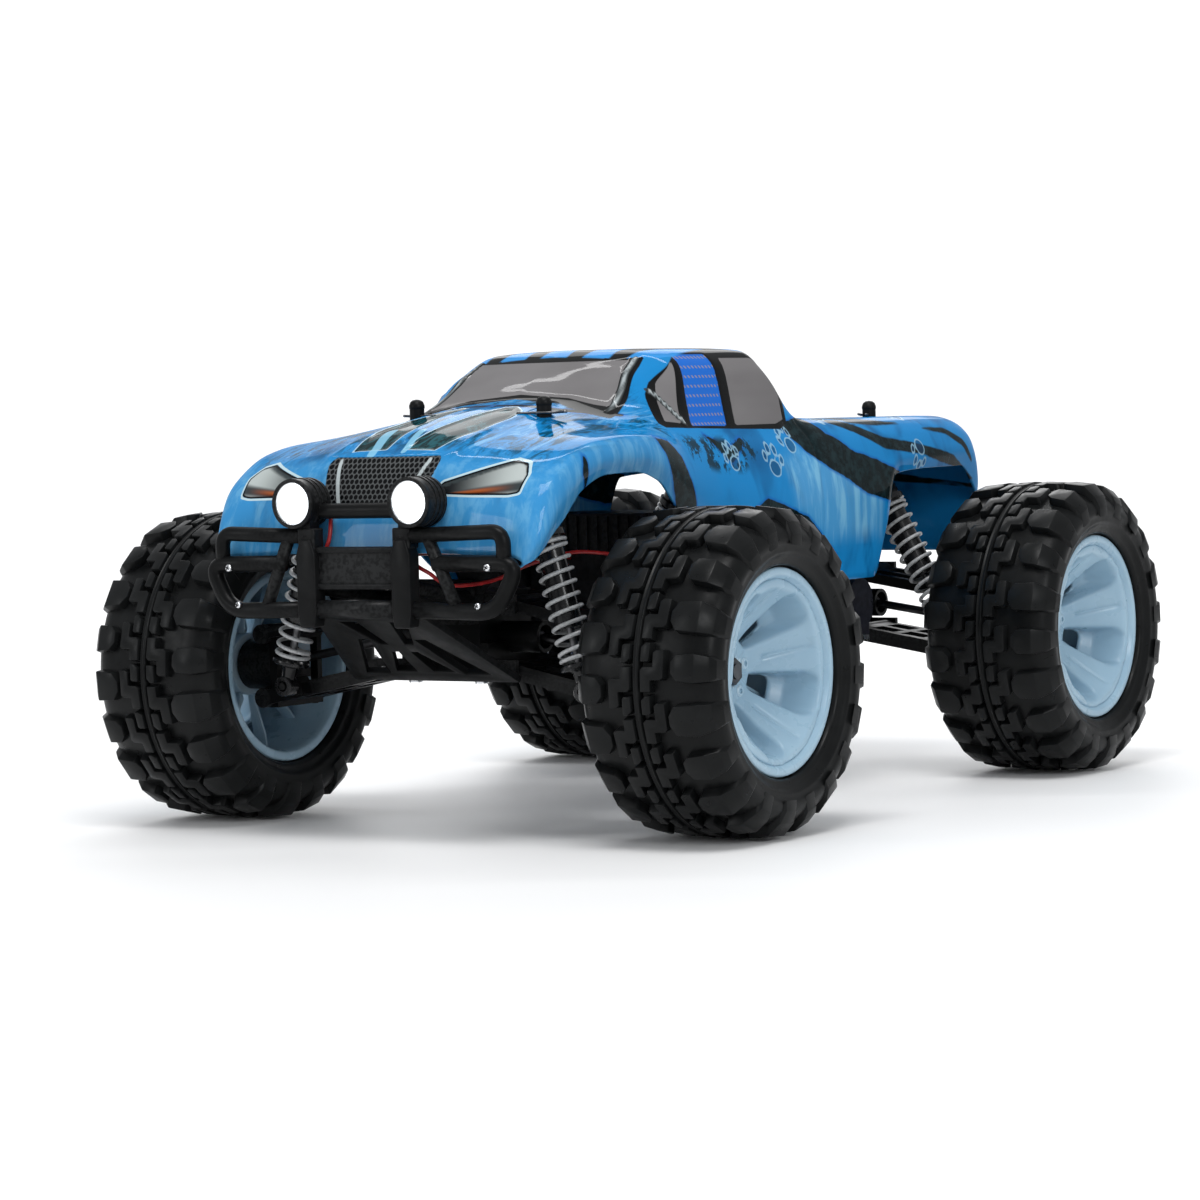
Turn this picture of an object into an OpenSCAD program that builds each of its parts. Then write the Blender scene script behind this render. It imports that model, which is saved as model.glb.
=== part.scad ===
// 1:10 four-wheel-drive monster truck with sprung double-wishbone suspension.
// Axes: X across the truck (+X is the truck's left), -Y forwards, Z up, ground at Z = 0.

/* [Wheels and stance] */
// distance between the front and rear axle lines
wheelbase = 270; // [240:1:300]
// tyre outer diameter over the tread blocks
tyre_d = 127; // [110:1:140]
// tyre width
tyre_w = 61; // [45:1:65]
// rim diameter over the outer lip
rim_d = 79.6; // [70:0.2:90]
// middle plane of each wheel from the truck's centre line
wheel_x = 117.7; // [105:0.1:130]
// wheel spokes
spokes = 5; // [4:1:7]
// tread blocks around each shoulder
lugs = 20; // [16:1:28]

/* [Suspension] */
// lower arm's inner pin from the centre line
arm_in_x = 30; // [26:1:36]
// outer pins of both arms from the centre line
arm_out_x = 92; // [86:1:96]
// height of the lower outer pin
low_out_z = 51; // [48:0.5:54]
// height difference between upper and lower pins
pin_h = 26; // [24:0.5:30]
// height of the front lower inner pin
front_in_z = 63.5; // [58:0.5:68]
// height of the rear lower inner pin
rear_in_z = 61; // [57:0.5:66]
// steering axis from the centre line
kingpin_x = 98; // [95:0.5:100]
// steering arm length
steer_arm = 24.2; // [20:0.1:26]

/* [Body and frame] */
// wall of the clear plastic body
shell_t = 1.2; // [0.8:0.1:2]
// chassis plate underside height
plate_z = 60; // [56:0.5:64]
// chassis plate thickness
plate_t = 2.5; // [2:0.5:4]
// lamp diameter
lamp_d = 19; // [14:0.5:24]

/* [Drive] */
// gear module
gear_m = 0.6; // [0.5:0.1:1]
// spur gear teeth
spur_n = 44; // [36:4:60]
// motor pinion teeth
pinion_n = 24; // [16:4:28]

/* [Hidden] */
$fn = 48;
ax = wheelbase / 2;
wheel_z = tyre_d / 2;
y_shift = 7;
pin_r = 1.5;
bore_r = 1.55;
plate_top = plate_z + plate_t;
arm_in_half = 16;
frame_half = 15;
ear_t = 3;
shock_dy = -27;
ball_rise = 12.5;
shaft_z = 75.5;
spur_y = 29;
spur_r = gear_m * spur_n / 2;
pin_gear_r = gear_m * pinion_n / 2;
motor_dx = -19.2;
motor_dz = sqrt(pow(spur_r + pin_gear_r, 2) - pow(motor_dx, 2));
horn_r = 20.6;
rack_y = -102;
rack_z = 68.4;
rack_t = 3.3;
tie_y = -ax + steer_arm - 0.8;
servo_x = -26;
tie_slope = (front_in_z - low_out_z) / (arm_out_x - arm_in_x);
tie_out_z = front_in_z - tie_slope * (kingpin_x - arm_in_x);
f_low = [72.3, 57];
f_top = [53.3, 128];
r_low = [84.5, 66];
r_top = [50.5, 130];
lamp_c = [27.6, -200, 131.8];
post_f = [31, -124];
post_r = [40, 121];

// body cross sections from nose to tail: [y, [[x, z] from the lower edge up to the centre line]]
sections = [
  [-201, [[70,107],[71,108.5],[68,110],[60,111],[45,111.5],[30,112],[15,112],[0,112]]],
  [-198, [[73,109],[75,115],[72,121],[62,124],[45,125],[30,126],[15,126],[0,126]]],
  [-194, [[74,112],[77,120],[75,128],[66,133],[48,135],[30,137],[15,138],[0,138]]],
  [-188, [[75,118],[78,128],[76,136],[66,140],[48,143],[28,146],[14,147],[0,147]]],
  [-180, [[75.5,124],[78,134],[76,142],[64,145],[46,148],[28,150],[14,151],[0,151]]],
  [-168, [[76,128],[78,140],[75,148.5],[64,149.5],[46,151.5],[28,154],[14,156],[0,156]]],
  [-150, [[76,129.5],[78,142],[75,152],[64,153.5],[46,155],[28,158],[14,160],[0,160.5]]],
  [-131, [[76,130],[78,142],[75,153],[64,155],[47,158],[28,161],[14,163.5],[0,164]]],
  [-112, [[75,128],[77,140],[74,152],[64,156],[48,160],[28,164],[14,166],[0,166.5]]],
  [-98, [[74,122],[76,136],[72,150],[62,157],[48,163],[28,167],[14,168],[0,168.5]]],
  [-86, [[73,117],[75,132],[70,148],[60,157],[46,168.5],[28,174],[14,176],[0,176.5]]],
  [-74, [[72,110],[74,128],[69,147],[61,157],[44,178],[30,181.5],[14,183],[0,183.5]]],
  [-60, [[72,100],[73.5,124],[68,146],[61.5,156],[48,181],[36,186.5],[16,187.6],[0,188]]],
  [-45, [[72,92],[73.5,122],[68,145],[62,155],[50,182],[40,187],[18,188],[0,188]]],
  [-20, [[72,90],[73.5,121],[68,144],[62,154],[51,182],[42,187],[18,188],[0,188]]],
  [4, [[72,89],[73.5,121],[68,144],[62,153.5],[51,181],[43,186.5],[18,187.5],[0,187.5]]],
  [12, [[72,89],[73.5,121],[68,145],[61,154],[54,172],[42,177],[18,178],[0,178]]],
  [27, [[72,89],[73.5,122],[69,147],[62,155],[54,157.5],[40,158],[18,158],[0,158]]],
  [62, [[72,89],[73.5,122],[69,147],[61,155],[54,156.5],[40,156.5],[18,156.5],[0,156.5]]],
  [74, [[72,108],[73,126],[69,147],[60.5,155],[54,156.4],[40,156.4],[18,156.4],[0,156.4]]],
  [87, [[71,133],[72,139],[68,149],[60,155],[54,156.3],[40,156.3],[18,156.3],[0,156.3]]],
  [120, [[70,134.5],[71,140],[67,150],[60,155],[54,156.3],[40,156.3],[18,156.3],[0,156.3]]],
  [152, [[68,134.5],[69,141],[66,149],[60,154.5],[54,155.8],[40,156],[18,156],[0,156]]],
  [165, [[66,128],[67.5,138],[65,147],[59,152.5],[53,153.8],[40,154],[18,154],[0,154]]],
  [171, [[65,123],[66,133],[64,143],[58,149],[52,150.5],[40,151],[18,151],[0,151]]],
  [176, [[63,120],[63.5,124],[62,130],[57,134],[50,136],[40,137],[18,137],[0,137]]],
  [178, [[60,119],[60,121],[59,123],[55,124],[48,125],[38,125],[18,125],[0,125]]],
  [179.5, [[58,93],[58,94],[57,94.6],[52,95],[46,95],[36,95],[18,95],[0,95]]]
];

// ---------- helpers ----------

// round bar between two points
module rod(a, b, r) {
  d = b - a;
  l = norm(d);
  translate(a)
    rotate([0, acos(d[2] / l), atan2(d[1], d[0])])
      cylinder(h = l, r = r);
}

// round bar along X
module xcyl(x0, x1, y, z, r, n = 48) {
  translate([x0, y, z])
    rotate([0, 90, 0])
      cylinder(h = x1 - x0, r = r, $fn = n);
}

// round bar along Y
module ycyl(y0, y1, x, z, r, n = 48) {
  translate([x, y0, z])
    rotate([-90, 0, 0])
      cylinder(h = y1 - y0, r = r, $fn = n);
}

// upright round bar
module zcyl(z0, z1, x, y, r, n = 48) {
  translate([x, y, z0])
    cylinder(h = z1 - z0, r = r, $fn = n);
}

// box from its low corner to its high corner
module box(a, b) {
  translate(a)
    cube(b - a);
}

// bar bent through a list of points
module bent(pts, r, n = 20) {
  $fn = n;
  for (i = [0 : len(pts) - 2])
    rod(pts[i], pts[i + 1], r);
  for (i = [1 : len(pts) - 2])
    translate(pts[i])
      sphere(r = 1.07 * r);
}

// soft cable swept through a list of points
module cable(pts, r, sides = 8) {
  n = len(pts);
  rings = [for (i = [0 : n - 1])
    let (
      d = pts[min(i + 1, n - 1)] - pts[max(i - 1, 0)],
      t = d / norm(d),
      c = cross(t, [1, 0.15, 0]),
      u = c / norm(c),
      v = cross(t, u)
    ) for (k = [0 : sides - 1]) pts[i] + r * (cos(k * 360 / sides) * u + sin(k * 360 / sides) * v)];
  faces = concat(
    [for (i = [0 : n - 2]) for (k = [0 : sides - 1])
      [i * sides + k, i * sides + (k + 1) % sides, (i + 1) * sides + (k + 1) % sides]],
    [for (i = [0 : n - 2]) for (k = [0 : sides - 1])
      [i * sides + k, (i + 1) * sides + (k + 1) % sides, (i + 1) * sides + k]],
    [[for (k = [sides - 1 : -1 : 0]) k]],
    [[for (k = [0 : sides - 1]) (n - 1) * sides + k]]);
  polyhedron(points = rings, faces = faces, convexity = 6);
}

// upright plate standing across the truck, outline given in X and Z
module xz_plate(y0, y1, pts) {
  translate([0, y1, 0])
    rotate([90, 0, 0])
      linear_extrude(height = y1 - y0)
        polygon(pts);
}

// puts a left-hand corner piece, drawn about its axle line, in its place
module corner(side, y) {
  translate([0, y + y_shift, 0])
    mirror([side < 0 ? 1 : 0, 0, 0])
      children();
}

// puts a piece drawn about the middle of the wheelbase in its place
module placed() {
  translate([0, y_shift, 0])
    children();
}

// ---------- wheels ----------

module ring_of_blocks(n, w, r0, r1, phase) {
  difference() {
    union() {
      circle(r = r0 + 1);
      for (i = [0 : n - 1])
        rotate(phase + i * 360 / n)
          translate([r0, -w / 2])
            square([r1 - r0, w]);
    }
    circle(r = r0 - 2);
  }
}

module tyre() {
  rr = tyre_d / 2;
  h = tyre_w / 2;
  color([0.06, 0.06, 0.06])
  translate([wheel_x, 0, wheel_z])
    rotate([0, 90, 0])
      union() {
        rotate_extrude($fn = 96)
          polygon([[37.2, -22.8], [40.4, -22.8], [40.4, -26.2], [42, -27.6], [49, -h], [56, -h + 0.8],
            [60, -h + 4], [60.4, 0], [60, h - 4], [56, h - 0.8], [49, h], [42, 27.6], [40.4, 26.2],
            [40.4, 22.8], [37.2, 22.8], [37.2, 19.5], [45, h - 8], [54, h - 6], [57, h - 9],
            [57.4, 0], [57, -h + 9], [54, -h + 6], [45, -h + 8], [37.2, -19.5]]);
        translate([0, 0, 8])
          linear_extrude(height = h - 10)
            ring_of_blocks(lugs, 11.5, 59, rr - 1.4, 0);
        translate([0, 0, 2 - h])
          linear_extrude(height = h - 10)
            ring_of_blocks(lugs, 11.5, 59, rr - 1.4, 180 / lugs);
        rotate_extrude($fn = 96)
          polygon([[59, -5], [rr - 0.16, -3], [rr - 0.16, 3], [59, 5]]);
      }
}

module rim() {
  ro = rim_d / 2;
  color([0.80, 0.90, 0.95])
  translate([wheel_x, 0, wheel_z])
    rotate([0, 90, 0])
      difference() {
        union() {
          rotate_extrude($fn = 96)
            polygon([[34.4, -25.6], [ro - 0.6, -25.6], [ro, -24.9], [ro, -23.8], [ro - 0.6, -23.1], [37, -23.1],
              [37, 23.1], [ro - 0.6, 23.1], [ro, 23.8], [ro, 24.9], [ro - 0.6, 25.6], [36.6, 25.6],
              [34.6, 22], [34.6, -20]]);
          rotate_extrude($fn = 96)
            polygon([[6, -5.7], [13, -5.7], [16, -2], [35.2, 17], [35.2, 21], [33, 21], [13, 3.5],
              [12, 1.3], [6, 1.3]]);
          translate([0, 0, -5.7])
            cylinder(h = 7, r = 12);
        }
        for (i = [0 : spokes - 1])
          rotate(24 + i * 360 / spokes)
            translate([0, 0, -8])
              linear_extrude(height = 40)
                polygon([[18, -3.4], [32.6, -9.6], [34.2, 0], [32.6, 9.6], [18, 3.4]]);
        translate([0, 0, -6.7])
          cylinder(h = 5.2, r = 7.05, $fn = 6);
        translate([0, 0, -8])
          cylinder(h = 12, r = 3.1);
      }
}

// live axle with its drive cup, wheel hex and nut
module wheel_axle() {
  color([0.55, 0.56, 0.58])
  difference() {
    union() {
      xcyl(93.5, 104.5, 0, wheel_z, 6.6);
      xcyl(104, 123.8, 0, wheel_z, 3);
      xcyl(111.4, 116.1, 0, wheel_z, 6.93, 6);
      xcyl(119.1, 122.9, 0, wheel_z, 5.2, 6);
    }
    xcyl(92, 103, 0, wheel_z, 4.6);
    translate([93.4, 0, wheel_z])
      rotate([0, 90, 0])
        cylinder(h = 2.4, r1 = 5.9, r2 = 4.6);
  }
}

// ---------- suspension ----------

// one wishbone: rise is the inner pin height, drop the fall to the outer pin
module wishbone(z_in, z_out, h, slots) {
  dx = arm_out_x - arm_in_x;
  dz = z_out - z_in;
  l = sqrt(dx * dx + dz * dz);
  tilt = atan2(-dz, dx);
  translate([arm_in_x, 0, z_in])
    rotate([0, tilt, 0])
      difference() {
        union() {
          rotate([-90, 0, 0])
            translate([0, 0, -arm_in_half])
              cylinder(h = 2 * arm_in_half, r = 3.5);
          translate([0, 0, -h / 2])
            linear_extrude(height = h)
              polygon([[0, -arm_in_half], [l, -frame_half - 0.3 - ear_t], [l, frame_half + 0.3 + ear_t],
                [0, arm_in_half]]);
          for (s = [-1, 1])
            translate([l, s * (frame_half + 0.3 + ear_t / 2), 0])
              rotate([-90, 0, 0])
                cylinder(h = ear_t, r = 4, center = true);
        }
        translate([l - 8, -frame_half - 0.3, -10])
          cube([16, 2 * frame_half + 0.6, 20]);
        for (s = [-1, 1])
          for (i = [0 : slots - 1])
            translate([7 + i * (l - 18) / slots, s > 0 ? 2 : -12.5, -10])
              cube([(l - 18) / slots - 3.5, 10.5, 20]);
        rotate([90, 0, 0])
          cylinder(h = 60, r = bore_r, center = true);
        translate([l, 0, 0])
          rotate([90, 0, 0])
            cylinder(h = 60, r = bore_r, center = true);
      }
}

module lower_arm(z_in, eye, lug) {
  color([0.08, 0.08, 0.09])
  union() {
    wishbone(z_in, low_out_z, 6, 3);
    ycyl(shock_dy - 3.4, -15.5, eye[0], eye[1], pin_r);
    xz_plate(shock_dy + 3.6, -16.4, [[eye[0] - 4, eye[1] + 1], [eye[0] - 2, eye[1] + 3.5],
      [eye[0] + 2, eye[1] + 3.5], [eye[0] + 4, eye[1] + 1], [eye[0] + 3, lug], [eye[0] - 5, lug + 1]]);
  }
}

module upper_arm(z_in) {
  color([0.08, 0.08, 0.09])
    wishbone(z_in + pin_h, low_out_z + pin_h, 4.4, 1);
}

// upright frame shared by the front and rear hubs, with its two hinge pins
module hub_frame() {
  difference() {
    union() {
      box([86.6, -frame_half, low_out_z - 4], [90.2, frame_half, low_out_z + pin_h + 4]);
      for (z = [low_out_z, low_out_z + pin_h])
        ycyl(-frame_half, frame_half, arm_out_x, z, 4);
      for (z = [low_out_z, low_out_z + pin_h])
        box([88, -frame_half, z - 4], [arm_out_x, frame_half, z + 4]);
    }
    box([80, -12, low_out_z + 1.9], [100, 12, low_out_z + pin_h - 2.9]);
  }
  for (z = [low_out_z, low_out_z + pin_h])
    ycyl(-frame_half - ear_t - 0.3, frame_half + ear_t + 0.3, arm_out_x, z, pin_r);
}

module c_hub() {
  color([0.07, 0.07, 0.08])
  difference() {
    union() {
      hub_frame();
      box([89, -6, low_out_z - 3], [kingpin_x, 6, low_out_z + 1.9]);
      zcyl(low_out_z - 3, low_out_z + 1.9, kingpin_x, 0, 6);
      box([89, -6, low_out_z + pin_h - 2.9], [kingpin_x, 6, low_out_z + pin_h + 2]);
      zcyl(low_out_z + pin_h - 2.9, low_out_z + pin_h + 2, kingpin_x, 0, 6);
    }
    zcyl(low_out_z - 9, low_out_z + pin_h + 9, kingpin_x, 0, 2.06);
  }
}

module rear_hub() {
  color([0.07, 0.07, 0.08])
  difference() {
    union() {
      hub_frame();
      xcyl(86.6, 111, 0, wheel_z, 10.4);
      box([88, -3, low_out_z], [104, 3, wheel_z]);
      box([88, -3, wheel_z], [104, 3, low_out_z + pin_h]);
    }
    xcyl(80, 105, 0, wheel_z, 7.3);
    xcyl(90, 130, 0, wheel_z, 3.06);
  }
}

module knuckle() {
  color([0.07, 0.07, 0.08])
  difference() {
    union() {
      xcyl(93, 111, 0, wheel_z, 10.3);
      zcyl(low_out_z - 2, wheel_z - 8, kingpin_x, 0, 2);
      zcyl(wheel_z + 8, low_out_z + pin_h + 1.5, kingpin_x, 0, 2);
      box([kingpin_x - 1.5, 5, 57], [kingpin_x + 3.5, steer_arm, 60.5]);
      zcyl(57, 60.5, kingpin_x, steer_arm, 3);
      zcyl(45.5, 58, kingpin_x, steer_arm, pin_r);
    }
    xcyl(80, 105, 0, wheel_z, 7.3);
    xcyl(90, 130, 0, wheel_z, 3.06);
  }
}

module dogbone(z_in) {
  a = [32, 0, z_in + ball_rise];
  b = [kingpin_x, 0, wheel_z];
  color([0.5, 0.5, 0.52])
  union() {
    rod(a, b, 1.8);
    translate(a)
      sphere(r = 3.3);
    translate(b)
      sphere(r = 3);
  }
}

// draws its children along the damper's line: origin at the top eye, +Z down the rod
module shock_line(top, low) {
  translate([top[0], shock_dy, top[1]])
    rotate([0, 180 - atan2(low[0] - top[0], top[1] - low[1]), 0])
      children();
}

module shock_body(top, low) {
  color([0.06, 0.06, 0.07])
  shock_line(top, low)
    difference() {
      union() {
        rotate([90, 0, 0])
          cylinder(h = 6, r = 3.7, center = true);
        rotate_extrude()
          polygon([[0, 2], [2.7, 2], [2.7, 5], [6.2, 5], [6.2, 10], [7.3, 10], [7.3, 12.4], [5.3, 12.4],
            [5.3, 48.5], [1.57, 48.5], [1.57, 45.5], [4.3, 45.5], [4.3, 13], [0, 13]]);
      }
      rotate([90, 0, 0])
        cylinder(h = 10, r = 1.6, center = true);
    }
}

module shock_rod(top, low) {
  l = sqrt(pow(low[0] - top[0], 2) + pow(top[1] - low[1], 2));
  color([0.72, 0.73, 0.75])
  shock_line(top, low)
    difference() {
      union() {
        rotate_extrude()
          polygon([[0, 28], [4.2, 28], [4.2, 31], [pin_r, 31], [pin_r, 62.4], [7.3, 62.4], [7.3, 64.2],
            [2.7, 64.2], [2.7, l - 2.5], [0, l - 2.5]]);
        translate([0, 0, l])
          rotate([90, 0, 0])
            cylinder(h = 6, r = 4, center = true);
      }
      translate([0, 0, l])
        rotate([90, 0, 0])
          cylinder(h = 10, r = 2.15, center = true);
    }
}

// coil spring: z runs between its seats
module spring(top, low) {
  turns = 9;
  seg = 12;
  sides = 5;
  z0 = 13.2;
  z1 = 61.6;
  rm = 6.5;
  rw = 0.65;
  n = turns * seg;
  pts = [for (i = [0 : n]) for (k = [0 : sides - 1])
    let (a = i * 360 / seg, t = k * 360 / sides, r = rm + rw * cos(t))
      [r * cos(a), r * sin(a), z0 + (z1 - z0) * i / n + rw * sin(t)]];
  faces = concat(
    [for (i = [0 : n - 1]) for (k = [0 : sides - 1])
      [i * sides + k, i * sides + (k + 1) % sides, (i + 1) * sides + (k + 1) % sides]],
    [for (i = [0 : n - 1]) for (k = [0 : sides - 1])
      [i * sides + k, (i + 1) * sides + (k + 1) % sides, (i + 1) * sides + k]],
    [[for (k = [sides - 1 : -1 : 0]) k]],
    [[for (k = [0 : sides - 1]) n * sides + k]]);
  color([0.80, 0.82, 0.84])
  shock_line(top, low)
    polyhedron(points = pts, faces = faces, convexity = 10);
}

// ---------- steering ----------

module tie_rod(side) {
  color([0.1, 0.1, 0.11])
  translate([0, y_shift, 0])
    mirror([side < 0 ? 1 : 0, 0, 0])
      difference() {
        union() {
          rod([arm_in_x, tie_y, front_in_z], [kingpin_x, tie_y, tie_out_z], 1.6);
          translate([arm_in_x, tie_y, front_in_z])
            cylinder(h = 3.2, r = 4, center = true);
          translate([kingpin_x, tie_y, tie_out_z])
            cylinder(h = 4, r = 4.4, center = true);
        }
        translate([arm_in_x, tie_y, front_in_z])
          cylinder(h = 20, r = 2.4, center = true);
        translate([kingpin_x, tie_y, tie_out_z])
          cylinder(h = 20, r = 3.1, center = true);
      }
}

module steering_rack() {
  color([0.12, 0.12, 0.13])
  placed()
    difference() {
      union() {
        box([-34, rack_y - 5, rack_z], [34, rack_y + 5, rack_z + rack_t]);
        for (s = [-1, 1]) {
          box([s * arm_in_x - 4, tie_y - 3, rack_z], [s * arm_in_x + 4, rack_y, rack_z + rack_t]);
          zcyl(59.2, rack_z + 1, s * arm_in_x, tie_y, pin_r);
        }
      }
      box([servo_x - 1.9, rack_y - 1.9, rack_z - 1], [servo_x + 1.9, rack_y + 4.2, rack_z + rack_t + 1]);
    }
}

module servo_horn() {
  hy = rack_y + horn_r;
  color([0.85, 0.85, 0.83])
  placed()
    union() {
      box([servo_x - 2.5, rack_y, 72.2], [servo_x + 2.5, hy, 75]);
      zcyl(72.2, 75, servo_x, rack_y, 3);
      zcyl(72.2, 76, servo_x, hy, 4.5);
      zcyl(67.8, 73, servo_x, rack_y, pin_r);
    }
}

module steering_servo() {
  hy = rack_y + horn_r;
  color([0.09, 0.09, 0.10])
  placed()
    union() {
      box([servo_x - 10, hy - 10, 78.5], [servo_x + 10, hy + 30.5, 114]);
      zcyl(76.4, 79, servo_x, hy, 5.5);
      for (y = [hy - 17, hy + 30.5])
        box([servo_x - 10, y, 84], [servo_x + 10, y + 7, 86.5]);
      for (x = [servo_x - 13.5, servo_x + 9.8])
        box([x, hy - 6, plate_top], [x + 3.7, hy, 92]);
      for (x = [servo_x - 9, servo_x + 5])
        box([x, hy + 32, plate_top], [x + 4.5, hy + 36, 84.5]);
    }
}

// ---------- frame ----------

module chassis_plate() {
  color([0.75, 0.76, 0.78])
  placed()
    difference() {
      translate([0, 0, plate_z])
        linear_extrude(height = plate_t)
          polygon([[-21, -158], [21, -158], [21, -119], [13.5, -117], [13.5, -99], [30, -94], [50, -82],
            [58, -40], [58, 84], [48, 96], [21, 112], [21, 157], [-21, 157], [-21, 112], [-48, 96],
            [-52, 60], [-52, -70], [-46, -84], [-30, -94], [-13.5, -99], [-13.5, -117], [-21, -119]]);
      for (s = [-1, 1])
        for (y = [-151, -122, 122, 150])
          zcyl(plate_z - 1, plate_top + 1, s * 16, y, 1.6, 24);
      box([-4.5, spur_y - 16, plate_z - 1], [4.5, spur_y + 16, plate_top + 1]);
    }
}

// one closed gear case with its arm brackets and the two drive outlets
module gearbox(z_in) {
  dz = z_in + ball_rise;
  difference() {
    union() {
      box([-21, -18, plate_top], [21, 18, plate_top + 12]);
      ycyl(-18, 18, 0, dz, 17);
      box([-17, -18, dz - 8], [17, 18, z_in + pin_h + 5]);
      for (s = [-1, 1])
        for (y = [-18.3, 16.3]) {
          box([s > 0 ? 16 : -34, y, plate_top], [s > 0 ? 34 : -16, y + 2, z_in + 4.5]);
          box([s > 0 ? 12 : -34, y, z_in + pin_h - 4], [s > 0 ? 34 : -12, y + 2, z_in + pin_h + 4]);
        }
      for (s = [-1, 1])
        xcyl(s > 0 ? 12 : -36, s > 0 ? 36 : -12, 0, dz, 6.2);
    }
    for (s = [-1, 1]) {
      xcyl(s > 0 ? 24 : -40, s > 0 ? 40 : -24, 0, dz, 4.8);
      for (z = [z_in, z_in + pin_h])
        ycyl(-30, 30, s * arm_in_x, z, bore_r);
      box([s > 0 ? 25.5 : -40, -arm_in_half - 0.25, plate_top - 1], [s > 0 ? 40 : -25.5, arm_in_half + 0.25,
        z_in + 5]);
      box([s > 0 ? 22 : -40, -arm_in_half - 0.25, z_in + pin_h - 5], [s > 0 ? 40 : -22, arm_in_half + 0.25,
        z_in + pin_h + 6]);
    }
    box([-60, -40, plate_z - 20], [60, 40, plate_top]);
  }
}

module gearboxes() {
  color([0.10, 0.10, 0.11])
  placed()
    difference() {
      union() {
        translate([0, -ax, 0])
          gearbox(front_in_z);
        translate([0, ax, 0])
          gearbox(rear_in_z);
        box([-17, ax - 20, plate_top], [17, ax - 17, rear_in_z + pin_h + 5]);
        box([-9, -118, plate_top], [9, rack_y + 7.5, 72.7]);
      }
      box([-12, rack_y - 5.3, rack_z - 0.3], [12, rack_y + 5.3, rack_z + rack_t + 0.3]);
      box([-12, rack_y - 9.4, 65], [12, rack_y - 5, rack_z + rack_t + 0.3]);
      ycyl(-119, -110, 0, shaft_z, 3.1);
      ycyl(110, ax - 10, 0, shaft_z, 3.1);
      for (s = [-1, 1])
        for (y = [-151, -122, 122, 150])
          zcyl(plate_top - 1, plate_top + 6, s * 16, y, 1.6, 24);
    }
}

module tower(top, y0, y1, base_z, studs) {
  difference() {
    xz_plate(y0, y1, [[-17, base_z - 12], [17, base_z - 12], [20, base_z], [top[0] - 17, top[1] - 16],
      [top[0] - 6, top[1] - 7.2], [top[0] - 2, top[1] - 5.2], [top[0] + 3.4, top[1] - 2.8],
      [top[0] + 3.4, top[1] + 4], [top[0] - 3, top[1] + 5], [24, base_z + 22], [-24, base_z + 22],
      [3 - top[0], top[1] + 5], [-top[0] - 3.4, top[1] + 4], [-top[0] - 3.4, top[1] - 2.8],
      [2 - top[0], top[1] - 5.2], [6 - top[0], top[1] - 7.2], [17 - top[0], top[1] - 16], [-20, base_z]]);
    xz_plate(y0 - 1, y1 + 1, [[-11, base_z + 5], [11, base_z + 5], [15, base_z + 16], [-15, base_z + 16]]);
  }
  for (s = [-1, 1])
    ycyl(studs, y0 + 1, s * top[0], top[1], pin_r);
}

// damper towers with the body posts moulded on
module shock_towers() {
  color([0.07, 0.07, 0.08])
  placed()
    union() {
      tower(f_top, -158.6, -153.4, 94, -ax + shock_dy - 3.6);
      tower(r_top, ax + shock_dy + 3.4, ax - 20, 92, ax + shock_dy - 3.6);
      for (s = [-1, 1]) {
        box([s * post_f[0] - 3.5, -154, 118], [s * post_f[0] + 3.5, post_f[1] + 4, 122]);
        zcyl(118, 167.6, s * post_f[0], post_f[1], 3);
        translate([s * post_f[0], post_f[1], 167.6])
          sphere(r = 3);
        box([s * post_r[0] - 4, ax - 21, 116], [s * post_r[0] + 4, post_r[1] + 3, 126]);
        zcyl(116, 161.5, s * post_r[0], post_r[1], 3);
        translate([s * post_r[0], post_r[1], 161.5])
          sphere(r = 3);
      }
    }
}

// one side of the tube bar: upright, loop, top bar, strut and stay
module bar_side() {
  xz_plate(-212, -205, [[19, 84], [26, 84], [27, 90], [27, 112], [25, 118], [20, 118], [18, 112], [18, 90]]);
  bent([[24, -208, 91], [61, -207, 90], [65, -207, 93], [72, -206.5, 104], [70, -206.5, 108],
    [38, -207.5, 108.5]], 3.2);
  bent([[24, -208.2, 119], [60, -206.6, 120], [66, -206.5, 116], [66.5, -206.5, 109]], 2.9);
  rod([33, -207.8, 119], [45, -207.2, 91], 2.5);
  rod([22.5, -208, 100], [17, -160, 92], 3);
  box([18.5, -211, 114], [26.5, -204.5, 122.2]);
}

module skid_plate() {
  translate([0, -158.6, plate_z + 1])
    rotate([-32.5, 0, 0])
      translate([0, 0, -1.5])
        difference() {
          linear_extrude(height = 3)
            polygon([[-40, 0], [-25, -56], [25, -56], [40, 0]]);
          for (m = [0, 1])
            mirror([m, 0, 0])
              translate([0, 0, -1])
                for (p = [[[4, -8], [3, -24], [6, -24], [14, -8]], [[18, -6], [11, -34], [16, -34], [30, -6]],
                  [[4, -30], [8, -48], [16, -48], [8, -30]]])
                  linear_extrude(height = 5)
                    polygon(p);
        }
}

// tube bar with side loops, and the sloping skid plate under it
module front_bumper() {
  color([0.09, 0.09, 0.10])
  placed()
    union() {
      for (m = [0, 1])
        mirror([m, 0, 0])
          bar_side();
      box([-20, -209, 98.5], [20, -206, 115]);
      xcyl(-20, 20, -208, 91, 3.6);
      box([-20, -162.5, 86], [20, -158.8, 100]);
      difference() {
        skid_plate();
        box([-60, -159.2, 40], [60, -100, 90]);
      }
    }
}

function side_pts(s) = concat(
  [for (p = s[1]) [p[0], s[0], p[1]]],
  [for (i = [len(s[1]) - 2 : -1 : 0]) [-s[1][i][0], s[0], s[1][i][1]]]);

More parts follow.
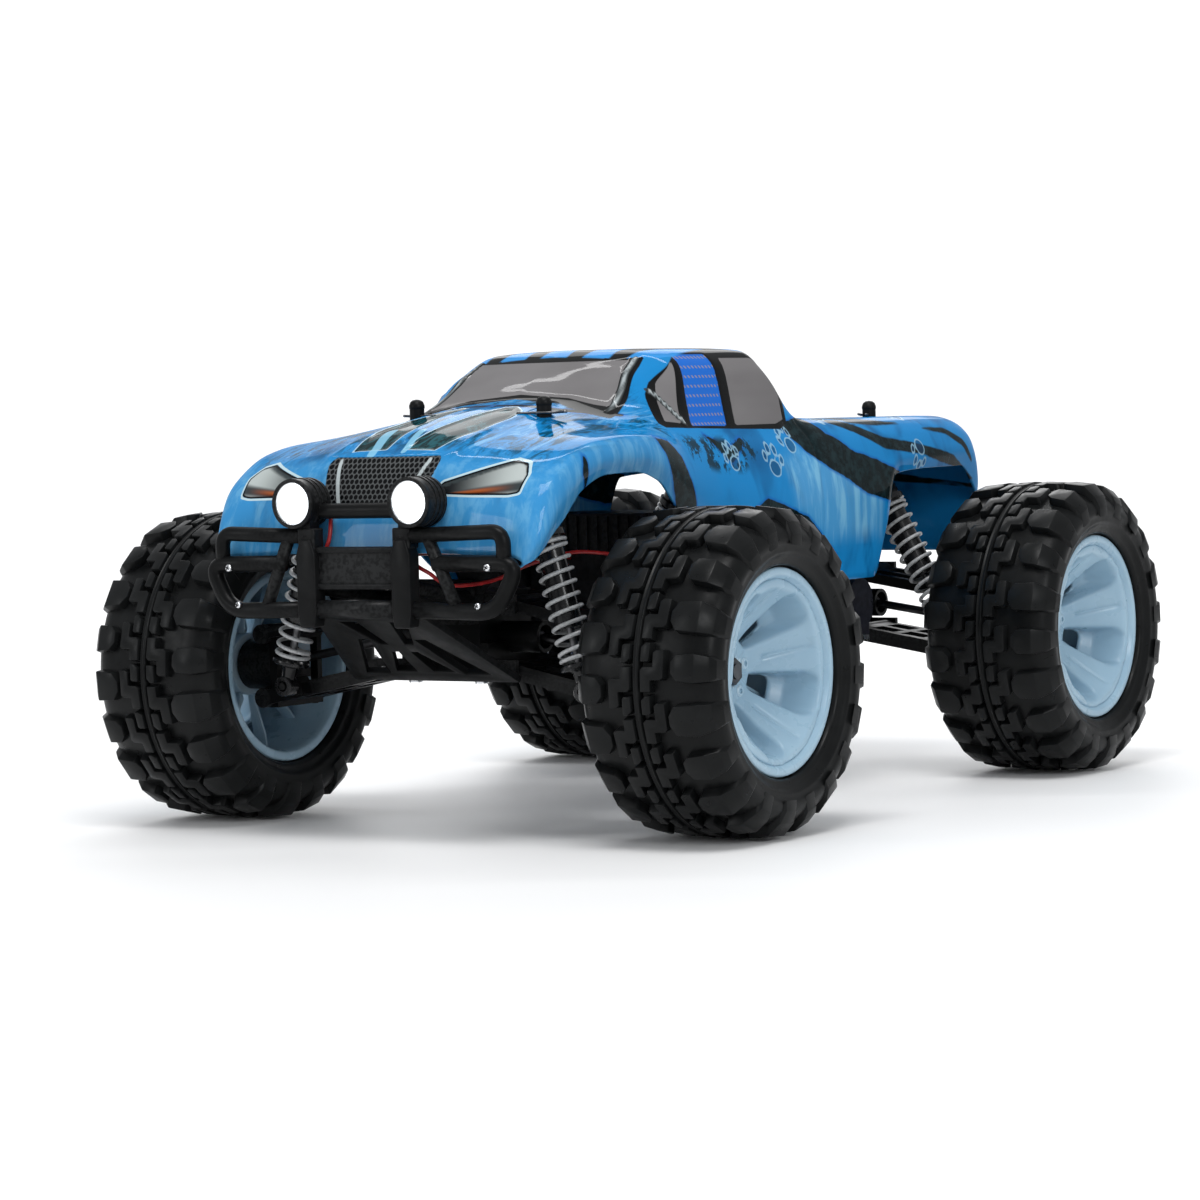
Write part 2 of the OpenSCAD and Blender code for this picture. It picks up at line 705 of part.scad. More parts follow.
module shell_solid() {
  ns = len(sections);
  np = 2 * len(sections[0][1]) - 1;
  g = [for (s = sections) side_pts(s)];
  inner = [for (i = [0 : ns - 1]) [for (j = [0 : np - 1])
    let (
      di = g[min(i + 1, ns - 1)][j] - g[max(i - 1, 0)][j],
      dj = g[i][min(j + 1, np - 1)] - g[i][max(j - 1, 0)],
      c = cross(di, dj),
      n = c / norm(c)
    ) g[i][j] - shell_t * n]];
  pts = concat([for (r = g) for (p = r) p], [for (r = inner) for (p = r) p]);
  o = ns * np;
  quads = concat(
    [for (i = [0 : ns - 2]) for (j = [0 : np - 2])
      [i * np + j, i * np + j + 1, (i + 1) * np + j + 1, (i + 1) * np + j]],
    [for (i = [0 : ns - 2]) for (j = [0 : np - 2])
      [o + i * np + j, o + (i + 1) * np + j, o + (i + 1) * np + j + 1, o + i * np + j + 1]],
    [for (i = [0 : ns - 2]) [i * np, (i + 1) * np, o + (i + 1) * np, o + i * np]],
    [for (i = [0 : ns - 2])
      [i * np + np - 1, o + i * np + np - 1, o + (i + 1) * np + np - 1, (i + 1) * np + np - 1]],
    [for (j = [0 : np - 2]) [j, o + j, o + j + 1, j + 1]],
    [for (j = [0 : np - 2])
      [(ns - 1) * np + j, (ns - 1) * np + j + 1, o + (ns - 1) * np + j + 1, o + (ns - 1) * np + j]]);
  tris = concat([for (q = quads) [q[0], q[1], q[2]]], [for (q = quads) [q[0], q[2], q[3]]]);
  polyhedron(points = pts, faces = tris, convexity = 10);
}

module body_shell() {
  color([0.12, 0.50, 0.85])
  placed()
    difference() {
      shell_solid();
      for (s = [-1, 1]) {
        zcyl(150, 175, s * post_f[0], post_f[1], 3.5, 16);
        zcyl(150, 175, s * post_r[0], post_r[1], 3.5, 16);
      }
    }
}

module lamp_housings() {
  color([0.08, 0.08, 0.09])
  placed()
    for (s = [-1, 1])
      difference() {
        union() {
          ycyl(lamp_c[1] - 12.5, lamp_c[1], s * lamp_c[0], lamp_c[2], lamp_d / 2);
          box([s * 24 - 3, -210, 122.2], [s * 24 + 3, -204, 126]);
          if (s > 0)
            xcyl(-22, 22, -204.5, 128.6, 3);
        }
        ycyl(lamp_c[1] - 13, lamp_c[1] - 4, s * lamp_c[0], lamp_c[2], lamp_d / 2 - 1.3);
        ycyl(lamp_c[1] - 6, lamp_c[1] + 1, s * lamp_c[0], lamp_c[2], 1.1, 24);
      }
}

// two lamp cables, each from its lamp back under the body to the radio box
module lamp_leads() {
  color([0.65, 0.05, 0.06])
  placed()
    for (s = [-1, 1])
      cable([[s * lamp_c[0], -203.6, lamp_c[2]], [s * (lamp_c[0] - 0.2), -199.4, lamp_c[2] - 0.3],
        [s * 23.5, -198.9, 130], [s * 19, -199.6, 127], [s * 17.2, -201.8, 123.2],
        [s * 17.5, -203.2, 116.5], [s * 23, -203.2, 108.5], [s * 29.5, -202.4, 104.5],
        [s * 33, -194, 99.5], [s * 37, -172, 100], [s * 39, -150, 105], [s * 34, -112, 108],
        [s > 0 ? 34 : 4, -84, 106], [s > 0 ? 30 : 8, -74.6, 104]], 0.8);
}

// ---------- drive and electrics ----------

module gear_2d(n) {
  pitch = gear_m * n / 2;
  a = 360 / n;
  polygon([for (i = [0 : n - 1]) for (k = [0 : 3])
    let (
      t = i * a + [-0.30, -0.13, 0.13, 0.30][k] * a,
      r = (k == 1 || k == 2) ? pitch + 0.5 : pitch - 0.72
    ) [r * cos(t), r * sin(t)]]);
}

module centre_shaft() {
  mesh = atan2(motor_dz, motor_dx);
  color([0.16, 0.16, 0.17])
  placed()
    union() {
      ycyl(-118.6, 124, 0, shaft_z, 2.5);
      translate([0, spur_y + 6, shaft_z])
        rotate([90, 0, 0])
          linear_extrude(height = 6)
            rotate(mesh)
              gear_2d(spur_n);
      ycyl(spur_y - 6, spur_y + 8, 0, shaft_z, 6);
    }
}

module pinion_gear() {
  mesh = atan2(motor_dz, motor_dx);
  color([0.75, 0.62, 0.30])
  placed()
    translate([motor_dx, spur_y + 6.5, shaft_z + motor_dz])
      rotate([90, 0, 0])
        difference() {
          linear_extrude(height = 7)
            rotate(mesh + 180 + 180 / pinion_n)
              gear_2d(pinion_n);
          translate([0, 0, -1])
            cylinder(h = 20, r = 1.62);
        }
}

module motor() {
  mz = shaft_z + motor_dz;
  color([0.62, 0.63, 0.65])
  placed()
    union() {
      ycyl(spur_y + 9.5, spur_y + 59, motor_dx, mz, 16.8);
      ycyl(spur_y - 2, spur_y + 11, motor_dx, mz, 1.55);
      ycyl(spur_y + 59, spur_y + 62, motor_dx, mz, 6);
      for (y = [spur_y + 14, spur_y + 46])
        box([motor_dx - 17, y, plate_top], [motor_dx + 12, y + 6, mz - 8]);
    }
}

module battery_pack() {
  color([0.10, 0.12, 0.20])
  placed()
    union() {
      for (i = [0 : 5])
        xcyl(17, 57, -17 + i * 19.2, plate_top + 14, 11.2);
      box([17, -24, plate_top], [57, 86, plate_top + 14]);
    }
}

module radio_box() {
  color([0.05, 0.05, 0.06])
  placed()
    union() {
      box([-12, -74, 84], [46, -34, 122]);
      box([8, -74, plate_top], [46, -34, 84.5]);
      for (i = [0 : 10])
        box([-10 + i * 5, -75, 106], [-8 + i * 5, -73.5, 121]);
    }
}

// hinge pins, chassis screws and body-side cap screws, all alike in kind
module fasteners() {
  color([0.70, 0.71, 0.73])
  placed() {
    for (s = [-1, 1]) {
      for (h = [0, pin_h]) {
        ycyl(-ax - 18.8, -ax + 18.8, s * arm_in_x, front_in_z + h, pin_r);
        ycyl(ax - 18.8, ax + 18.8, s * arm_in_x, rear_in_z + h, pin_r);
      }
      for (y = [-151, -122, 122, 150]) {
        zcyl(plate_z - 1.4, plate_z, s * 16, y, 2.7, 32);
        zcyl(plate_z, plate_top + 5.5, s * 16, y, pin_r, 32);
      }
    }
  }
}

// ---------- drawing ----------

module at(part, side, end) {
  front = end < 0;
  z_in = front ? front_in_z : rear_in_z;
  low = front ? f_low : r_low;
  top = front ? f_top : r_top;
  corner(side, end * ax) {
    if (part == "tyre") tyre();
    if (part == "rim") rim();
    if (part == "wheel_axle") wheel_axle();
    if (part == "lower_arm") lower_arm(z_in, low, front ? 52.5 : 52);
    if (part == "upper_arm") upper_arm(z_in);
    if (part == "c_hub") c_hub();
    if (part == "rear_hub") rear_hub();
    if (part == "knuckle") knuckle();
    if (part == "dogbone") dogbone(z_in);
    if (part == "shock_body") shock_body(top, low);
    if (part == "shock_rod") shock_rod(top, low);
    if (part == "spring") spring(top, low);
  }
}

at("tyre", 1, -1);  // tyre_front_left
at("tyre", -1, -1);  // tyre_front_right
at("tyre", 1, 1);  // tyre_rear_left
at("tyre", -1, 1);  // tyre_rear_right
at("rim", 1, -1);  // rim_front_left
at("rim", -1, -1);  // rim_front_right
at("rim", 1, 1);  // rim_rear_left
at("rim", -1, 1);  // rim_rear_right
at("wheel_axle", 1, -1);  // wheel_axle_front_left
at("wheel_axle", -1, -1);  // wheel_axle_front_right
at("wheel_axle", 1, 1);  // wheel_axle_rear_left
at("wheel_axle", -1, 1);  // wheel_axle_rear_right
at("lower_arm", 1, -1);  // lower_arm_front_left
at("lower_arm", -1, -1);  // lower_arm_front_right
at("lower_arm", 1, 1);  // lower_arm_rear_left
at("lower_arm", -1, 1);  // lower_arm_rear_right
at("upper_arm", 1, -1);  // upper_arm_front_left
at("upper_arm", -1, -1);  // upper_arm_front_right
at("upper_arm", 1, 1);  // upper_arm_rear_left
at("upper_arm", -1, 1);  // upper_arm_rear_right
at("c_hub", 1, -1);  // c_hub_left
at("c_hub", -1, -1);  // c_hub_right
at("rear_hub", 1, 1);  // rear_hub_left
at("rear_hub", -1, 1);  // rear_hub_right
at("knuckle", 1, -1);  // knuckle_left
at("knuckle", -1, -1);  // knuckle_right
at("dogbone", 1, -1);  // dogbone_front_left
at("dogbone", -1, -1);  // dogbone_front_right
at("dogbone", 1, 1);  // dogbone_rear_left
at("dogbone", -1, 1);  // dogbone_rear_right
at("shock_body", 1, -1);  // shock_body_front_left
at("shock_body", -1, -1);  // shock_body_front_right
at("shock_body", 1, 1);  // shock_body_rear_left
at("shock_body", -1, 1);  // shock_body_rear_right
at("shock_rod", 1, -1);  // shock_rod_front_left
at("shock_rod", -1, -1);  // shock_rod_front_right
at("shock_rod", 1, 1);  // shock_rod_rear_left
at("shock_rod", -1, 1);  // shock_rod_rear_right
at("spring", 1, -1);  // spring_front_left
at("spring", -1, -1);  // spring_front_right
at("spring", 1, 1);  // spring_rear_left
at("spring", -1, 1);  // spring_rear_right
tie_rod(1);  // tie_rod_left
tie_rod(-1);  // tie_rod_right
steering_rack();
servo_horn();
steering_servo();
chassis_plate();
gearboxes();
shock_towers();
front_bumper();
body_shell();
lamp_housings();
lamp_leads();
motor();
pinion_gear();
centre_shaft();
battery_pack();
radio_box();
fasteners();
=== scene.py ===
import bpy
import bmesh
import math
import numpy as np
from mathutils import Matrix, Vector


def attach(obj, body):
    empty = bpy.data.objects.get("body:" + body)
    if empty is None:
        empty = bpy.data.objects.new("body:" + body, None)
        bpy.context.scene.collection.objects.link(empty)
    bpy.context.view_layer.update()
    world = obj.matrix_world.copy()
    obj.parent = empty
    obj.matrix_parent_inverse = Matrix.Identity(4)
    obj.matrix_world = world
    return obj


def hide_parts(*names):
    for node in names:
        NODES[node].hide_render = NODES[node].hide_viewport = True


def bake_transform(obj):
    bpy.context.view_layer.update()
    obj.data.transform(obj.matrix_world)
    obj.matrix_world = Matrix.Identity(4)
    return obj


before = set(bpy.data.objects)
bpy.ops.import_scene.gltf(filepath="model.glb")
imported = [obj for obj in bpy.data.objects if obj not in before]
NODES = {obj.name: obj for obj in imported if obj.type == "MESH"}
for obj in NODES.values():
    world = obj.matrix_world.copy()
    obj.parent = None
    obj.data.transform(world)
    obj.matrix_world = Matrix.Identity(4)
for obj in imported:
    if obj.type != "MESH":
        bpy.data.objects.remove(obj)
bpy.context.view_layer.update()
MM = 0.001
# The truck is drawn in mm with y = 0 midway between its axles; the frame's middle is 7 mm further forward.
Y_SHIFT = 7.0
AXLE_Y = 135.0
WHEEL_X = 117.7
WHEEL_Z = 63.5
SIDES = {"left": 1, "right": -1}
ENDS = {"front": -1, "rear": 1}
BODY_POSTS = {"front": (31, -124, 170.6), "rear": (40, 121, 164.5)}


# ---------------------------------------------------------------- mesh helpers

def make_mesh(name, verts, faces, smooth=True, scale=MM):
    me = bpy.data.meshes.new(name)
    me.from_pydata([tuple(c * scale for c in v) for v in verts], [], faces)
    me.validate()
    me.update()
    bm = bmesh.new()
    bm.from_mesh(me)
    bmesh.ops.recalc_face_normals(bm, faces=bm.faces)
    bm.to_mesh(me)
    bm.free()
    if smooth:
        me.polygons.foreach_set("use_smooth", [True] * len(me.polygons))
    ob = bpy.data.objects.new(name, me)
    bpy.context.scene.collection.objects.link(ob)
    return ob


def apply_mods(ob):
    dg = bpy.context.evaluated_depsgraph_get()
    me = bpy.data.meshes.new_from_object(ob.evaluated_get(dg), depsgraph=dg)
    ob.modifiers.clear()
    old = ob.data
    ob.data = me
    bpy.data.meshes.remove(old)
    return ob


def bevel(ob, width, segments=2, angle=32):
    m = ob.modifiers.new("bevel", "BEVEL")
    m.width = width * MM
    m.segments = segments
    m.limit_method = "ANGLE"
    m.angle_limit = math.radians(angle)
    m.use_clamp_overlap = True
    return m


def soften(ob, angle=34):
    """Smooth shading with sharp edges kept above an angle."""
    me = ob.data
    me.polygons.foreach_set("use_smooth", [True] * len(me.polygons))
    bm = bmesh.new()
    bm.from_mesh(me)
    lim = math.radians(angle)
    for e in bm.edges:
        e.smooth = len(e.link_faces) == 2 and e.calc_face_angle(0) < lim
    bm.to_mesh(me)
    bm.free()


def join(name, obs):
    bpy.ops.object.select_all(action="DESELECT")
    for o in obs:
        o.select_set(True)
    bpy.context.view_layer.objects.active = obs[0]
    bpy.ops.object.join()
    obs[0].name = name
    obs[0].data.name = name
    return obs[0]


def paint(ob, mat):
    ob.data.materials.clear()
    ob.data.materials.append(mat)
    return ob


def lathe(name, prof, n=96, axis="x", closed=False):
    """Profile of (radius, along) turned about an axis through the origin."""
    verts, faces = [], []
    m = len(prof)
    for i in range(n):
        a = 2 * math.pi * i / n
        for r, w in prof:
            c, s = r * math.cos(a), r * math.sin(a)
            verts.append({"x": (w, c, s), "y": (s, w, c), "z": (c, s, w)}[axis])
    rows = m if closed else m - 1
    for i in range(n):
        k = (i + 1) % n
        for j in range(rows):
            q = (j + 1) % m
            faces.append((i * m + j, i * m + q, k * m + q, k * m + j))
    return make_mesh(name, verts, faces)


def tube(name, pts, r, sides=12, closed=False, caps=True):
    """Round bar swept along points in mm."""
    pts = [Vector(p) for p in pts]
    n = len(pts)
    verts, faces = [], []
    ref = None
    for i, p in enumerate(pts):
        a = pts[(i - 1) % n] if closed or i > 0 else p
        b = pts[(i + 1) % n] if closed or i < n - 1 else p
        t = (b - a).normalized()
        if ref is None:
            ref = t.orthogonal().normalized()
        ref = (ref - t * ref.dot(t)).normalized()
        bi = t.cross(ref)
        rr = r[i] if isinstance(r, (list, tuple)) else r
        for k in range(sides):
            a = 2 * math.pi * k / sides
            verts.append(p + rr * (math.cos(a) * ref + math.sin(a) * bi))
    for i in range(n if closed else n - 1):
        j = (i + 1) % n
        for k in range(sides):
            q = (k + 1) % sides
            faces.append((i * sides + k, i * sides + q, j * sides + q, j * sides + k))
    if caps and not closed:
        faces.append(tuple(range(sides - 1, -1, -1)))
        faces.append(tuple((n - 1) * sides + k for k in range(sides)))
    return make_mesh(name, verts, faces)


def fillet(pts, radius, steps=7):
    """Polyline with its corners rounded."""
    pts = [Vector(p) for p in pts]
    out = [pts[0]]
    for i in range(1, len(pts) - 1):
        p, a, b = pts[i], pts[i - 1], pts[i + 1]
        u, v = (a - p), (b - p)
        d = min(radius, 0.48 * u.length, 0.48 * v.length)
        s, e = p + u.normalized() * d, p + v.normalized() * d
        for k in range(steps + 1):
            t = k / steps
            out.append(s * (1 - t) ** 2 + p * 2 * t * (1 - t) + e * t * t)
    out.append(pts[-1])
    return out


def spline(pts, per=8):
    """Catmull-Rom curve through points."""
    pts = [Vector(p) for p in pts]
    ext = [pts[0] * 2 - pts[1]] + pts + [pts[-1] * 2 - pts[-2]]
    out = []
    for i in range(1, len(ext) - 2):
        a, b, c, d = ext[i - 1:i + 3]
        for k in range(per):
            t = k / per
            out.append(0.5 * (2 * b + (c - a) * t + (2 * a - 5 * b + 4 * c - d) * t * t
                              + (3 * b - 3 * c + d - a) * t ** 3))
    out.append(pts[-1])
    return out


def prism(name, pts, z0, z1, bev=0.4, axis="z", segments=2):
    """Outline of (u, v) given thickness along an axis, with rounded edges."""
    n = len(pts)
    order = {"z": lambda u, v, w: (u, v, w), "y": lambda u, v, w: (u, w, v),
             "x": lambda u, v, w: (w, u, v)}[axis]
    verts = [order(u, v, z0) for u, v in pts] + [order(u, v, z1) for u, v in pts]
    faces = [tuple(range(n - 1, -1, -1)), tuple(range(n, 2 * n))]
    faces += [(i, (i + 1) % n, n + (i + 1) % n, n + i) for i in range(n)]
    ob = make_mesh(name, verts, faces, smooth=False)
    if bev:
        bevel(ob, bev, segments)
        apply_mods(ob)
    soften(ob)
    return ob


def rect(u0, u1, v0, v1):
    return [(u0, v0), (u1, v0), (u1, v1), (u0, v1)]


def shift(ob, x, y, z):
    ob.data.transform(Matrix.Translation(Vector((x * MM, y * MM, z * MM))))
    return ob


def flip_x(ob):
    """Mirror image for the truck's other side."""
    ob.data.transform(Matrix.Scale(-1, 4, Vector((1, 0, 0))))
    ob.data.flip_normals()


# ---------------------------------------------------------------- materials

class Nodes:
    """Short names for building shader nodes."""

    def __init__(self, mat):
        self.t = mat.node_tree
        self.t.nodes.clear()
        self.out = self.t.nodes.new("ShaderNodeOutputMaterial")
        self.bsdf = self.t.nodes.new("ShaderNodeBsdfPrincipled")
        self.t.links.new(self.bsdf.outputs[0], self.out.inputs[0])
        self.geo = None

    def new(self, kind, **kw):
        n = self.t.nodes.new(kind)
        for k, v in kw.items():
            setattr(n, k, v)
        return n

    def link(self, a, b):
        self.t.links.new(a, b)

    def set(self, node, key, v):
        if isinstance(v, bpy.types.NodeSocket):
            self.link(v, node.inputs[key])
        else:
            node.inputs[key].default_value = v

    def pos(self, scale=(1, 1, 1), rot=(0, 0, 0)):
        tc = self.new("ShaderNodeTexCoord")
        mp = self.new("ShaderNodeMapping")
        self.link(tc.outputs["Object"], mp.inputs[0])
        mp.inputs["Scale"].default_value = scale
        mp.inputs["Rotation"].default_value = rot
        return mp.outputs[0]

    def noise(self, vec, scale, detail=3.0, rough=0.55, dist=0.0):
        n = self.new("ShaderNodeTexNoise")
        self.link(vec, n.inputs["Vector"])
        n.inputs["Scale"].default_value = scale
        n.inputs["Detail"].default_value = detail
        n.inputs["Roughness"].default_value = rough
        n.inputs["Distortion"].default_value = dist
        return n.outputs["Fac"]

    def voronoi(self, vec, scale, feature="F1", rand=1.0):
        n = self.new("ShaderNodeTexVoronoi", feature=feature)
        self.link(vec, n.inputs["Vector"])
        n.inputs["Scale"].default_value = scale
        n.inputs["Randomness"].default_value = rand
        return n.outputs["Distance"]

    def math(self, op, a, b=0.0, c=0.0, clamp=False):
        n = self.new("ShaderNodeMath", operation=op, use_clamp=clamp)
        for i, v in enumerate((a, b, c)):
            self.set(n, i, v)
        return n.outputs[0]

    def step(self, v, lo, hi, a=0.0, b=1.0):
        n = self.new("ShaderNodeMapRange", interpolation_type="SMOOTHSTEP")
        self.set(n, 0, v)
        for i, x in enumerate((lo, hi, a, b)):
            n.inputs[i + 1].default_value = x
        return n.outputs[0]

    def mix(self, fac, a, b):
        n = self.new("ShaderNodeMix", data_type="RGBA")
        self.set(n, 0, fac)
        for k, v in ((6, a), (7, b)):
            if not isinstance(v, bpy.types.NodeSocket) and len(v) == 3:
                v = (*v, 1.0)
            self.set(n, k, v)
        return n.outputs[2]

    def attr(self, name):
        n = self.new("ShaderNodeAttribute", attribute_name=name)
        return n.outputs["Fac"]

    def bump(self, height, strength, distance):
        n = self.new("ShaderNodeBump")
        n.inputs["Strength"].default_value = strength
        n.inputs["Distance"].default_value = distance
        self.link(height, n.inputs["Height"])
        if self.bsdf.inputs["Normal"].is_linked:
            self.link(self.bsdf.inputs["Normal"].links[0].from_socket, n.inputs["Normal"])
        self.link(n.outputs[0], self.bsdf.inputs["Normal"])

    def edge_wear_and_painted_light(self):
        """Pointiness: 0 in hollows, about 0.5 on flat faces, 1 on edges; drives worn edges, and the painted shade and
        painted highlight on the rims.
        """
        g = self.new("ShaderNodeNewGeometry")
        return g.outputs["Pointiness"]


def material(name, rough=0.4, metal=0.0, spec=0.5, coat=0.0, coat_rough=0.03, sss=0.0):
    m = bpy.data.materials.new(name)
    m.use_nodes = True
    n = Nodes(m)
    b = n.bsdf.inputs
    b["Roughness"].default_value = rough
    b["Metallic"].default_value = metal
    b["Specular IOR Level"].default_value = spec
    b["Coat Weight"].default_value = coat
    b["Coat Roughness"].default_value = coat_rough
    if sss:
        b["Subsurface Weight"].default_value = sss
        b["Subsurface Radius"].default_value = (0.004, 0.005, 0.006)
    return m, n


def plastic(name, dark, light, rough=0.42, grain=900, bump=0.16, coat=0.0, spec=0.5):
    """Moulded plastic: fine spark-eroded grain, faint flow marks and paler worn edges."""
    m, n = material(name, rough, 0.0, spec, coat, 0.12)
    v = n.pos()
    flow = n.noise(n.pos((1, 0.35, 1)), 38, 4, 0.6, 0.6)
    fine = n.noise(v, grain, 2, 0.5)
    wear = n.step(n.edge_wear_and_painted_light(), 0.53, 0.62)
    col = n.mix(n.step(flow, 0.3, 0.75), dark, light)
    col = n.mix(n.math("MULTIPLY", wear, n.step(fine, 0.35, 0.6)), col,
                tuple(min(1, c * 1.7 + 0.006) for c in light))
    n.link(col, n.bsdf.inputs["Base Color"])
    n.link(n.step(n.noise(v, 120, 3, 0.6), 0.25, 0.8, rough - 0.08, rough + 0.10), n.bsdf.inputs["Roughness"])
    n.bump(fine, bump, 0.00012)
    return m


def metal(name, colour, rough=0.28, brushed=(1, 1, 30), wear=0.5):
    """Turned or rolled metal: fine drawn lines, oily darker patches and brighter edges."""
    m, n = material(name, rough, 1.0)
    lines = n.noise(n.pos(brushed), 160, 3, 0.65)
    patch = n.noise(n.pos(), 46, 4, 0.6)
    dark = tuple(c * 0.62 for c in colour)
    col = n.mix(n.step(patch, 0.32, 0.62), dark, colour)
    col = n.mix(n.step(n.edge_wear_and_painted_light(), 0.52, 0.6), col, tuple(min(1, c * 1.25 + 0.03) for c in colour))
    n.link(col, n.bsdf.inputs["Base Color"])
    n.link(n.step(lines, 0.2, 0.8, rough - 0.1, rough + 0.14), n.bsdf.inputs["Roughness"])
    n.bump(lines, 0.12 * wear, 0.0001)
    return m


def rubber_material():
    m, n = material("tyre_rubber", 0.38, 0.0, 0.13)
    v = n.pos()
    fine = n.noise(v, 1400, 2, 0.5)
    grit = n.noise(v, 210, 4, 0.62)
    haze = n.noise(v, 26, 4, 0.6)
    col = n.mix(n.step(haze, 0.3, 0.72), (0.0036, 0.0040, 0.0042), (0.0078, 0.0084, 0.0086))
    col = n.mix(n.math("MULTIPLY", n.step(n.edge_wear_and_painted_light(), 0.53, 0.64), 0.4), col, (0.030, 0.032, 0.033))
    n.link(col, n.bsdf.inputs["Base Color"])
    n.link(n.step(grit, 0.25, 0.75, 0.26, 0.42), n.bsdf.inputs["Roughness"])
    n.bump(fine, 0.06, 0.0001)
    n.bump(grit, 0.05, 0.00025)
    return m


def rim_material():
    m, n = material("rim_plastic", 0.34, 0.0, 0.4, 0.10, 0.15, sss=0.06)
    v = n.pos()
    haze = n.noise(v, 30, 4, 0.55)
    fine = n.noise(v, 1100, 2, 0.5)
    col = n.mix(n.step(haze, 0.3, 0.7), (0.285, 0.44, 0.56), (0.34, 0.50, 0.615))
    # painted shade: the rim turns darker blue in its hollows and creases; painted highlight: it turns paler blue on
    # its edges
    g = n.step(n.edge_wear_and_painted_light(), 0.40, 0.49)
    col = n.mix(g, (0.13, 0.24, 0.36), col)
    col = n.mix(n.step(n.edge_wear_and_painted_light(), 0.53, 0.62), col, (0.56, 0.69, 0.77))
    n.link(col, n.bsdf.inputs["Base Color"])
    n.link(n.step(n.noise(v, 90, 3), 0.3, 0.7, 0.24, 0.38), n.bsdf.inputs["Roughness"])
    n.bump(fine, 0.08, 0.0001)
    return m


def paint_material():
    """Printed clear shell: airbrushed blue, smoke, dark panels and tinted windows from the shell's own fields, with
    painted highlights along the scoop edges and the cage bars.
    """
    m, n = material("painted_shell", 0.36, 0.0, 0.0, 0.34, 0.045)
    n.bsdf.inputs["Coat IOR"].default_value = 1.42
    a = n.attr

    def fill(base, field, colour, soft=0.2, amount=1.0):
        """Colour inside a printed outline, with an edge as soft as given in mm."""
        cover = n.step(a(field), soft, -soft)
        return n.mix(n.math("MULTIPLY", cover, amount), base, colour)

    warp = n.noise(n.pos(), 60, 3, 0.6)
    fine = n.noise(n.pos(), 240, 3, 0.6)
    drip = n.noise(n.pos((1.4, 1.4, 0.16)), 130, 4, 0.62, 0.3)
    broad = n.noise(n.pos((1.2, 1.2, 0.5)), 34, 3, 0.55, 0.4)
    flow = n.noise(n.pos((2.4, 0.55, 2.4)), 64, 5, 0.66, 1.6)

    azure, pale, deep = (0.009, 0.205, 0.50), (0.19, 0.46, 0.66), (0.004, 0.105, 0.28)
    col = n.mix(n.step(broad, 0.36, 0.66), deep, azure)
    col = n.mix(n.step(broad, 0.30, 0.50), col, azure)
    streak = n.math("MULTIPLY", n.step(drip, 0.42, 0.66), a("f_pale"))
    haze = n.math("ADD", n.math("MULTIPLY", a("f_pale"), 0.30), n.math("MULTIPLY", streak, 0.58), clamp=True)
    col = n.mix(haze, col, pale)
    # smoke over the hood
    smoke = n.math("MULTIPLY", n.step(flow, 0.47, 0.60), a("f_hood"))
    col = n.mix(n.math("MULTIPLY", smoke, 0.86), col, (0.003, 0.040, 0.062))
    light = n.math("MULTIPLY", n.step(flow, 0.44, 0.34), a("f_hood"))
    col = n.mix(n.math("MULTIPLY", light, 0.6), col, (0.16, 0.42, 0.64))
    # torn dark patches with soft blue rims
    dark = n.math("ADD", a("d_dark"), n.math("MULTIPLY", n.math("SUBTRACT", warp, 0.5), 3.0))
    col = n.mix(n.step(dark, 1.6, 0.2, 0, 0.75), col, (0.005, 0.11, 0.42))
    inner = n.mix(n.step(fine, 0.42, 0.66), (0.0035, 0.0095, 0.011), (0.010, 0.024, 0.028))
    col = n.mix(n.step(dark, 0.25, -0.25), col, inner)
    # splatter on the door
    spl = n.noise(n.pos((1, 1, 0.6)), 150, 5, 0.75)
    splat = n.math("MULTIPLY", n.step(spl, 0.50, 0.53), n.step(a("d_splat"), 1.0, -3.0))
    col = n.mix(n.math("MULTIPLY", splat, 0.92), col, (0.004, 0.020, 0.026))
    # wavy bands along the bed
    band = n.math("ADD", a("d_wave"), n.math("MULTIPLY", n.math("SUBTRACT", warp, 0.5), 1.4))
    col = n.mix(n.step(band, 0.45, -0.45), col, inner)
    # paw outlines
    paw = n.math("ABSOLUTE", n.math("ADD", a("d_paw"), -0.1))
    col = n.mix(n.math("MULTIPLY", n.step(a("d_paw"), 0.3, -0.1), 0.62), col, (0.006, 0.040, 0.10))
    col = n.mix(n.math("MULTIPLY", n.step(paw, 0.44, 0.14), 0.8), col, (0.26, 0.46, 0.60))
    # hood scoop patches with a painted highlight along their edges, and the two pale slashes in front of them
    teal = n.mix(n.step(flow, 0.46, 0.62), (0.003, 0.016, 0.018), (0.012, 0.085, 0.105))
    col = fill(col, "d_scoop", teal)
    # painted highlight: a pale line along the scoop outline, standing in for light caught by its raised edges
    key = n.math("ABSOLUTE", n.math("ADD", a("d_scoop"), -0.2))
    col = n.mix(n.math("MULTIPLY", n.step(key, 0.36, 0.14), 0.75), col, (0.50, 0.68, 0.76))
    col = fill(col, "d_slash", (0.22, 0.50, 0.68), 0.25, 0.8)
    # grille: honeycomb of round-cornered holes with two bright bars
    sep = n.new("ShaderNodeSeparateXYZ")
    n.link(n.pos((3200, 3200, 3200)), sep.inputs[0])
    gx, gz = sep.outputs[0], sep.outputs[2]
    waves = []
    for kx, kz in ((0.0, 1.0), (0.866, 0.5), (0.866, -0.5)):
        waves.append(n.math("COSINE", n.math("ADD", n.math("MULTIPLY", gx, kx), n.math("MULTIPLY", gz, kz))))
    comb = n.math("ADD", n.math("ADD", waves[0], waves[1]), waves[2])
    mesh = n.mix(n.step(comb, -0.95, -0.35), (0.075, 0.080, 0.082), (0.0025, 0.003, 0.0035))
    mesh = fill(mesh, "d_gbar", (0.42, 0.47, 0.48))
    col = fill(col, "d_grille", mesh)
